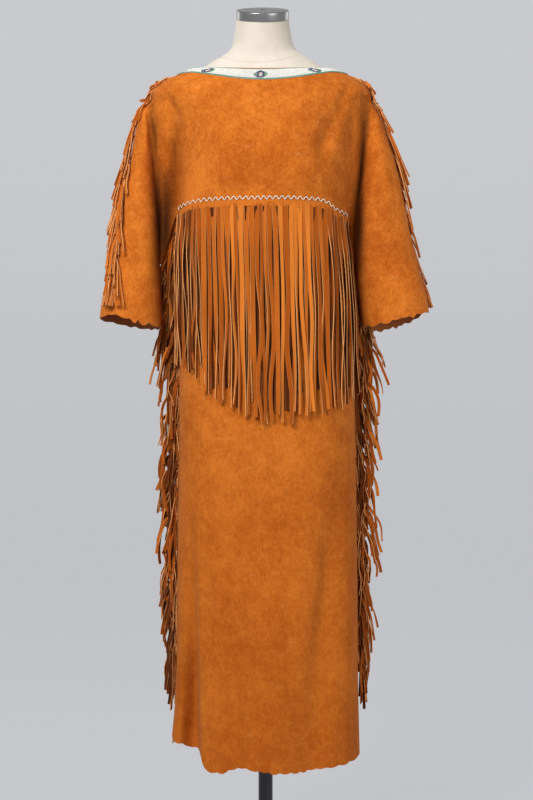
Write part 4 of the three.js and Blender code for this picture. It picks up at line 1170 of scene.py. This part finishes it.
def form_torso():
    angle = np.radians(np.arange(0, 360, 4))
    rings = []
    foot, trunk, neck = np.linspace(864, 870, 4), np.linspace(876, 1440, 80), np.linspace(1443, 1581, 64)
    for z in np.concatenate([[862], foot, trunk, neck]):
        left, right, front, back, square, tilt = read(FORM, z)
        x = (left + right) / 2 - (right - left) / 2 * shaped(np.cos(angle), square)
        y = -(back - front) / 2 * shaped(np.sin(angle), square)
        lean = math.radians(tilt)
        rings.append(np.stack([x, (front + back) / 2 + y * math.cos(lean), z + y * math.sin(lean)], -1))
    points, faces, sharp = ring_loft(rings)
    piece = make("form_torso_cover", points, faces, [finish("linen")], sharp=sharp)
    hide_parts("form_torso")
    return piece


def neck_cap():
    top = read(FORM, 1581)
    rings = turned([(48.2, 0.3), (49.2, 0.3), *rounded(49.6, 0.7, 0.4, False)[1:2], (49.6, 2), (49.6, 12),
                    *rounded(49.6, 17, 1.6), (44, 17.1), (30, 17.3), (12, 17.4), (4.2, 17.4), (4.0, 17.1),
                    (3.6, 16.6), (1.2, 16.5)], 96)
    lean = math.radians(top[5])
    tilt = np.array([[1, 0, 0], [0, math.cos(lean), -math.sin(lean)], [0, math.sin(lean), math.cos(lean)]])
    at = np.array([(top[0] + top[1]) / 2, (top[2] + top[3]) / 2, 1581])
    points, faces, sharp = ring_loft([ring @ tilt.T + at for ring in rings])
    piece = make("neck_cap_steel", points, faces, [finish("steel")], sharp=sharp)
    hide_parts("neck_cap")
    return piece


def stand():
    """The socket under the torso, the pole and the base."""
    profiles = {
        "pole_socket": [(16.6, SOCKET_FOOT), *rounded(18, SOCKET_FOOT, 1.2, False), (18, 848), (18.6, 853),
                        (21, 854.2), (46.5, 855), *rounded(48, 855, 1, False)[1:], (48, 861.7)],
        "stand_pole": [(13.5, BOSS_TOP + 0.3), (13.5, 200), (13.5, 420), (13.5, 640),
                       (13.5, SOCKET_FOOT - 0.3)],
        "stand_base": [(178, 0), *rounded(180, 0, 1.6, False)[1:], (180, 11), (178.6, 12.8), (175, 14),
                       (120, 15.4), (60, 16.8), (34, 17.8), (28, 19.4), (25, 22), (24, 26),
                       *rounded(24, BOSS_TOP, 2)],
    }
    pieces = []
    for node, profile in profiles.items():
        at = [0, 0, 0] if node == "stand_base" else [POLE_X, POLE_Y, 0]
        sides = 120 if node == "stand_base" else 48
        points, faces, sharp = ring_loft([ring + at for ring in turned(profile, sides)])
        piece = make(f"{node}_black", points, faces, [finish("black_paint")], sharp=sharp)
        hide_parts(node)
        pieces.append(piece)
    return pieces


# Making a piece


def make(name, points, faces, finishes, kinds=None, sharp=None, values=None, colours=None):
    """A mesh from points in millimetres, with its finishes, which rides on the part."""
    mesh = bpy.data.meshes.new(name)
    faces = faces.tolist() if isinstance(faces, np.ndarray) else faces
    mesh.from_pydata((np.asarray(points) * MM).tolist(), [], faces)
    for material in finishes:
        mesh.materials.append(material)
    if kinds is not None:
        mesh.polygons.foreach_set("material_index", np.minimum(kinds, len(finishes) - 1).astype(np.int32))
    mesh.polygons.foreach_set("use_smooth", np.ones(len(mesh.polygons), bool))
    if sharp is not None:
        ends = np.zeros(len(mesh.edges) * 2, np.int32)
        mesh.edges.foreach_get("vertices", ends)
        ends = np.sort(ends.reshape(-1, 2), axis=1).astype(np.int64)
        wanted = np.sort(sharp, axis=1).astype(np.int64)
        found = np.isin(ends @ [len(points), 1], wanted @ [len(points), 1])
        mesh.attributes.new("sharp_edge", "BOOLEAN", "EDGE").data.foreach_set("value", found)
    for key, value in (values or {}).items():
        mesh.attributes.new(key, "FLOAT", "POINT").data.foreach_set("value", value.astype(np.float32))
    for key, value in (colours or {}).items():
        data = mesh.attributes.new(key, "FLOAT_COLOR", "POINT").data
        data.foreach_set("color", value.astype(np.float32).ravel())
    mesh.update()
    piece = bpy.data.objects.new(name, mesh)
    bpy.context.scene.collection.objects.link(piece)
    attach(piece, "root")
    return piece


# Finishes


class Value:
    """A socket of a finish's node tree, which works in sums like a number."""

    def __init__(self, own, socket):
        self.own = own
        self.socket = socket

    def __add__(self, other):
        return self.own.sum("ADD", self, other)

    def __sub__(self, other):
        return self.own.sum("SUBTRACT", self, other)

    def __rsub__(self, other):
        return self.own.sum("SUBTRACT", other, self)

    def __mul__(self, other):
        return self.own.sum("MULTIPLY", self, other)

    def __pow__(self, other):
        return self.own.sum("POWER", self, other)

    __radd__ = __add__
    __rmul__ = __mul__

    def size(self):
        return self.own.sum("ABSOLUTE", self)

    def between(self, low, high):
        """0 up to low and 1 from high on, with a soft step between."""
        values = {"Value": self, "From Min": low, "From Max": high}
        return self.own.node("ShaderNodeMapRange", {"interpolation_type": "SMOOTHSTEP"}, values)


class Finish:
    """A material, and how its nodes are made."""

    def __init__(self, name):
        self.material = bpy.data.materials.new(name)
        self.material.use_nodes = True
        self.tree = self.material.node_tree
        self.tree.nodes.clear()
        output = self.tree.nodes.new("ShaderNodeOutputMaterial")
        self.shader = self.tree.nodes.new("ShaderNodeBsdfPrincipled")
        self.tree.links.new(self.shader.outputs[0], output.inputs["Surface"])
        self.place = self.node("ShaderNodeTexCoord", output="Object")

    def node(self, kind, settings=None, values=None, output=0):
        """A node of a type, its settings, the values or links of its sockets, and the socket it gives."""
        node = self.tree.nodes.new(kind)
        for name, value in (settings or {}).items():
            setattr(node, name, value)
        for name, value in (values or {}).items():
            self.feed(node.inputs[name], value)
        return Value(self, node.outputs[output])

    def feed(self, socket, value):
        if isinstance(value, Value):
            self.tree.links.new(value.socket, socket)
        else:
            socket.default_value = value

    def sum(self, operation, *values):
        return self.node("ShaderNodeMath", {"operation": operation}, dict(enumerate(values)))

    def blend(self, share, first, second, way="MIX"):
        """One colour over another, by a share."""
        values = {0: share, 6: opaque(first), 7: opaque(second)}
        return self.node("ShaderNodeMix", {"data_type": "RGBA", "blend_type": way}, values, 2)

    def noise(self, scale, detail=2.0, rough=0.5, stretch=(1, 1, 1)):
        """Noise with this many cells to the metre."""
        place = self.node("ShaderNodeVectorMath", {"operation": "MULTIPLY"}, {0: self.place, 1: stretch})
        values = {"Vector": place, "Scale": scale, "Detail": detail, "Roughness": rough}
        return self.node("ShaderNodeTexNoise", {}, values)

    def stored(self, name):
        return self.node("ShaderNodeAttribute", {"attribute_name": name}, output="Fac")

    def bump(self, height, distance, strength=1.0):
        values = {"Height": height, "Distance": distance, "Strength": strength}
        self.set("Normal", self.node("ShaderNodeBump", {}, values))

    def set(self, name, value):
        self.feed(self.shader.inputs[name], value)

    def axes(self):
        parts = self.tree.nodes.new("ShaderNodeSeparateXYZ")
        self.feed(parts.inputs[0], self.place)
        return [Value(self, out) for out in parts.outputs]


def opaque(value):
    return value if isinstance(value, Value) else (*value[:3], 1.0)


def nap_of(own):
    """The clouding and the fibres of brushed hide, about 0.5 in the middle."""
    blotch = own.noise(6.5, 3, 0.55)
    cloud = own.noise(34, 4, 0.65)
    scuff = own.noise(110, 3, 0.7, (1, 1, 0.7))
    fibre = own.noise(330, 3, 0.7, (1, 1, 0.5))
    nap = own.noise(1300, 2, 0.7)
    return blotch * 0.3 + cloud * 0.2 + scuff * 0.22 + fibre * 0.28, fibre, nap


def suede(own, colours):
    shade, fibre, nap = nap_of(own)
    height = own.axes()[2]
    painted_height_light = height.between(0.2, 1.3) * 0.36 + 0.64  # painted light and shade: paler towards the shoulders and darker towards the hem, where less light falls
    hide = own.blend(shade.between(0.38, 0.63) * painted_height_light, colours.suede_deep, colours.suede)
    scratch = own.noise(150, 2, 0.5, (0.16, 1, 1)).between(0.64, 0.8)
    hide = own.blend(scratch * 0.22, hide, colours.cut)
    # painted shade: the leather is darkened towards near black in the deep folds beside the arms
    own.set("Base Color", own.blend(own.stored("painted_fold_shade"), hide, linear(34, 12, 3)))
    own.set("Roughness", 0.82 + nap * 0.14)
    own.set("Sheen Weight", 0.08)
    own.set("Sheen Roughness", 0.5)
    own.set("Sheen Tint", (0.95, 0.5, 0.2, 1))
    own.set("Specular IOR Level", 0.08)
    wrinkle = own.noise(95, 3, 0.6)
    own.bump(wrinkle * 0.55 + fibre * 0.25 + nap * 0.2, 0.0014, 0.5)


def strands(own, colours):
    shade, fibre, nap = nap_of(own)
    # the stored tone carries random tone and painted shade; low values blend towards near black as painted
    # shade
    tone_and_shade = own.stored("tone_and_shade")
    mixed = shade * 0.6 + tone_and_shade * 0.55 - 0.06
    shaded = own.blend(mixed.between(-0.3, 0.35), linear(78, 34, 8), colours.suede_deep)
    hide = own.blend(mixed.between(0.25, 0.85), shaded, colours.suede)
    rim = own.stored("rim").between(0.76, 1.0) * 0.28
    own.set("Base Color", own.blend(rim, hide, colours.cut))
    own.set("Roughness", 0.84 + nap * 0.12)
    own.set("Sheen Weight", 0.04)
    own.set("Sheen Roughness", 0.5)
    own.set("Sheen Tint", (0.95, 0.5, 0.2, 1))
    own.set("Specular IOR Level", 0.08)
    own.bump(fibre * 0.5 + nap * 0.5, 0.0007, 0.5)


def cut_edge(own, colours):
    fray = own.noise(700, 3, 0.7)
    own.set("Base Color", own.blend(fray.between(0.3, 0.75), colours.cut, colours.suede))
    own.set("Roughness", 0.9 + fray * 0.08)
    own.bump(fray, 0.0006, 0.6)


def flesh_side(own, colours):
    shade, fibre, nap = nap_of(own)
    own.set("Base Color", own.blend(shade.between(0.3, 0.7), colours.suede_deep, colours.flesh))
    own.set("Roughness", 0.9 + nap * 0.08)
    own.bump(fibre * 0.6 + nap * 0.4, 0.0012, 0.6)


def glass_beads(own, colours):
    ink = own.node("ShaderNodeAttribute", {"attribute_name": "bead"}, output="Color")
    cloud = own.noise(420, 2, 0.5)
    own.set("Base Color", own.blend(cloud.between(0.35, 0.8) * 0.12, ink, (1, 1, 1)))
    own.set("Roughness", 0.2 + cloud * 0.12)
    own.set("Coat Roughness", 0.08)
    own.set("Coat Weight", 0.1)


def backing(own, colours):
    weave = own.noise(1900, 2, 0.6)
    own.set("Base Color", own.blend(weave.between(0.3, 0.7), linear(196, 192, 182), linear(228, 225, 216)))
    own.set("Roughness", 0.85 + weave * 0.1)
    own.bump(weave, 0.0004, 0.6)


def thread(own, colours):
    ply = own.noise(900, 2, 0.5, (1, 1, 2.2))
    own.set("Base Color", own.blend(ply.between(0.25, 0.7), linear(206, 188, 158), colours.lace))
    own.set("Roughness", 0.5 + ply * 0.2)
    own.bump(ply, 0.0004, 0.7)


def hole(own, colours):
    # painted shade: each lacing hole is a flat dark disc standing for the shade inside it
    hole_mottle = own.noise(600, 2, 0.5)
    own.set("Base Color", own.blend(hole_mottle, linear(40, 18, 8), linear(62, 30, 14)))
    own.set("Roughness", 0.95)


def linen(own, colours):
    x, y, z = own.axes()
    cloud = own.noise(14, 3, 0.55)
    slub = own.noise(420, 3, 0.6, (1, 1, 0.25)) + own.noise(420, 3, 0.6, (0.25, 0.25, 1))
    neck_seam = (z - 1.4925 - (y + 0.060) * 0.2 - x * 0.066 - x * x * 2.0).size()
    groove = 1 - neck_seam.between(0.0002, 0.0011)
    ground = own.blend(cloud.between(0.3, 0.7), linear(201, 190, 174), colours.linen)
    own.set("Base Color", own.blend(groove * 0.35, ground, linear(176, 160, 136)))
    own.set("Roughness", 0.86 + slub * 0.05)
    own.set("Sheen Weight", 0.12)
    own.bump(slub * 0.5 - groove * 1.6, 0.0005, 0.5)


def steel(own, colours):
    brushed = own.noise(1, 3, 0.7, (260, 260, 2600))
    own.set("Base Color", own.blend(brushed.between(0.3, 0.7), linear(132, 131, 130), colours.steel))
    own.set("Metallic", 1.0)
    own.set("Roughness", 0.24 + brushed * 0.12)
    own.bump(brushed, 0.00002, 0.3)


def black_paint(own, colours):
    speck = own.noise(900, 2, 0.6)
    wear = own.noise(22, 4, 0.6)
    own.set("Base Color", own.blend(wear.between(0.35, 0.75), linear(24, 25, 28), colours.black))
    own.set("Roughness", 0.3 + wear * 0.1 + speck * 0.06)
    own.bump(speck, 0.0002, 0.35)


def studio_paper(own, colours):
    stage = bpy.context.scene.stage_settings
    grain = own.noise(5, 2, 0.5)
    height = own.axes()[2]
    tall = own.blend(height.between(0.0, 3.4), linear(209, 210, 214), stage.backdrop)  # the floor is darker
    soft = own.blend(grain * 0.06, tall, linear(204, 206, 212))
    own.set("Base Color", own.blend(0.86, soft, (0.0, 0.0, 0.0)))
    own.set("Roughness", 0.95)
    own.set("Specular IOR Level", 0.0)
    own.set("Emission Color", soft)
    own.set("Emission Strength", stage.glow)


RECIPES = {
    "suede": suede, "strands": strands, "cut_edge": cut_edge, "flesh_side": flesh_side,
    "glass_beads": glass_beads, "backing": backing, "thread": thread, "hole": hole, "linen": linen,
    "steel": steel, "black_paint": black_paint, "studio_paper": studio_paper,
}


def finish(name):
    """The finish of that name, made the first time it is asked for."""
    title = f"dress_{name}"
    if title not in bpy.data.materials:
        RECIPES[name](Finish(title), bpy.context.scene.dress_colours)
    return bpy.data.materials[title]


# Operators: one for each piece or group of like pieces


class DressPanels(Operator):
    """Hang the yoke and the skirt, each with a front and a back"""

    bl_idname = "dress.panels"
    bl_label = "Leather panels"

    def execute(self, context):
        sizes = context.scene.dress_sizes
        finishes = [finish("suede"), finish("cut_edge"), finish("flesh_side")]
        grids = {
            "yoke": [yoke_leather(1), yoke_leather(-1)],
            "skirt": [Leather([(skirt_rows(side), side)]) for side in (1, -1)],
        }
        for kind, pieces in grids.items():
            marry(*pieces)
            names = [f"{kind}_front", f"{kind}_back"]
            for piece, name in zip(pieces, names):
                piece.crease(CREASES[name], sizes.creases)
            for piece, name, normals in zip(pieces, names, shared_normals(*pieces)):
                points, faces, kinds, sharp = shell(piece, normals, sizes.leather / MM)
                # the yoke carries painted shade in its deep folds beside the arms
                made = make(
                    f"{name}_leather", points, faces, finishes,
                    kinds=kinds, sharp=sharp, values={"painted_fold_shade": painted_fold_shade(points) * (kind == "yoke")},
                )
                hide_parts(name)
        return {"FINISHED"}


class YokeFringe(Operator):
    """Hang the long fringe below the yoke seam"""

    bl_idname = "dress.yoke_fringe"
    bl_label = "Yoke fringe"

    def execute(self, context):
        yoke_fringe(context.scene.dress_sizes)
        return {"FINISHED"}


class SideFringes(Operator):
    """Hang the fringe of the two side seams"""

    bl_idname = "dress.side_fringes"
    bl_label = "Side fringes"

    def execute(self, context):
        for hand in (-1, 1):
            side_fringe(context.scene.dress_sizes, hand)
        return {"FINISHED"}


class SleeveFringes(Operator):
    """Hang the fringe of the two shoulder and sleeve seams"""

    bl_idname = "dress.sleeve_fringes"
    bl_label = "Sleeve fringes"

    def execute(self, context):
        for hand in (-1, 1):
            sleeve_fringe(context.scene.dress_sizes, hand)
        return {"FINISHED"}


class BeadBand(Operator):
    """Lay the bead band round the neckline"""

    bl_idname = "dress.bead_band"
    bl_label = "Bead band"

    def execute(self, context):
        bead_band(context.scene.dress_sizes, context.scene.dress_colours)
        return {"FINISHED"}


class Lacing(Operator):
    """Lace the yoke to the skirt in a zigzag"""

    bl_idname = "dress.lacing"
    bl_label = "Lacing"

    def execute(self, context):
        lacing(context.scene.dress_sizes)
        return {"FINISHED"}


class DressForm(Operator):
    """Set up the form under the dress, with its cap"""

    bl_idname = "dress.form"
    bl_label = "Form"

    def execute(self, context):
        form_torso()
        neck_cap()
        return {"FINISHED"}


class FormStand(Operator):
    """Set up the pole, its socket and the base"""

    bl_idname = "dress.stand"
    bl_label = "Stand"

    def execute(self, context):
        stand()
        return {"FINISHED"}


class CutList(Operator):
    """A step that does nothing; the flat cut of the sheets of leather and cloth is not stated"""

    bl_idname = "dress.cut_list"
    bl_label = "Cut list"

    def execute(self, context):
        return {"FINISHED"}


class Stage(Operator):
    """Set up the backdrop, the lights and the camera"""

    bl_idname = "dress.stage"
    bl_label = "Stage"

    def execute(self, context):
        stage = context.scene.stage_settings
        backdrop()
        soft_light("key_light", (-1.35, -2.3, 2.9), (1.3, 1.3), stage.key)
        soft_light("fill_light", (2.6, -2.9, 1.7), (2.0, 2.2), stage.fill)
        for side in (-1, 1):
            name = "rim_light_left" if side < 0 else "rim_light_right"
            soft_light(name, (2.0 * side, 1.9, 2.2), (0.8, 1.8), stage.rim)
        world = bpy.data.worlds.new("studio")
        world.use_nodes = True
        ground = world.node_tree.nodes["Background"]
        ground.inputs["Color"].default_value = (1.0, 0.99, 0.98, 1)
        ground.inputs["Strength"].default_value = stage.room
        context.scene.world = world
        context.scene.view_settings.view_transform = "Standard"
        camera = bpy.data.cameras.new("camera")
        camera.sensor_width = 36
        camera.lens = 18 * stage.camera_distance / (FRAME_HEIGHT / 2 * stage.pixel)
        camera.clip_end = 60
        rig = bpy.data.objects.new("camera", camera)
        rig.location = (stage.camera_side, -stage.camera_distance, stage.camera_height)
        rig.rotation_euler = (math.pi / 2, 0, 0)
        context.scene.collection.objects.link(rig)
        context.scene.camera = rig
        return {"FINISHED"}


def backdrop():
    """A floor that curves up into a wall, the same all round."""
    bend, out, tall = 2.4, 9.5, 8.0
    curve = [(0.02, 0.0), (1.5, 0.0), (4.0, 0.0), (out - bend, 0.0)]
    arc = np.radians(np.linspace(8, 90, 12))
    curve += [(out - bend + bend * math.sin(a), bend * (1 - math.cos(a))) for a in arc]
    curve.append((out, tall))
    rings = turned([(r / MM, z / MM) for r, z in curve], 96)
    points, faces, _ = ring_loft(rings)
    mesh = bpy.data.meshes.new("backdrop")
    mesh.from_pydata((points * MM).tolist(), [], [face[::-1] for face in faces[:-1]])
    mesh.polygons.foreach_set("use_smooth", np.ones(len(mesh.polygons), bool))
    mesh.materials.append(finish("studio_paper"))
    piece = bpy.data.objects.new("backdrop", mesh)
    bpy.context.scene.collection.objects.link(piece)
    piece.visible_diffuse = False  # the paper gives the dress no light of its own


def soft_light(name, place, size, power):
    """A large soft light that looks at the middle of the dress."""
    light = bpy.data.lights.new(name, "AREA")
    light.shape = "RECTANGLE"
    light.size, light.size_y = size
    light.energy = power
    rig = bpy.data.objects.new(name, light)
    rig.location = place
    to = Vector((0, 0, 1.1)) - Vector(place)
    rig.rotation_euler = to.to_track_quat("-Z", "Y").to_euler()
    bpy.context.scene.collection.objects.link(rig)


class DressPanel(Panel):
    """The dress in the 3D view's sidebar"""

    bl_idname = "VIEW3D_PT_dress"
    bl_label = "Fringed leather dress"
    bl_space_type = "VIEW_3D"
    bl_region_type = "UI"
    bl_category = "Dress"

    def draw(self, context):
        for step in STEPS:
            self.layout.operator(step.bl_idname)
        for group in (context.scene.dress_sizes, context.scene.dress_colours, context.scene.stage_settings):
            box = self.layout.box()
            for name in group.__annotations__:
                box.prop(group, name)


STEPS = (
    DressPanels, YokeFringe, SideFringes, SleeveFringes, BeadBand,
    Lacing, DressForm, FormStand, CutList, Stage,
)
GROUPS = {"dress_sizes": DressSizes, "dress_colours": DressColours, "stage_settings": StageSettings}


def register():
    for each in (*GROUPS.values(), *STEPS, DressPanel):
        bpy.utils.register_class(each)
    for name, group in GROUPS.items():
        setattr(bpy.types.Scene, name, PointerProperty(type=group))


def unregister():
    for name in GROUPS:
        delattr(bpy.types.Scene, name)
    for each in reversed((*GROUPS.values(), *STEPS, DressPanel)):
        bpy.utils.unregister_class(each)


def main():
    register()
    for step in STEPS:
        group, name = step.bl_idname.split(".")
        getattr(getattr(bpy.ops, group), name)()


if __name__ == "__main__":
    main()
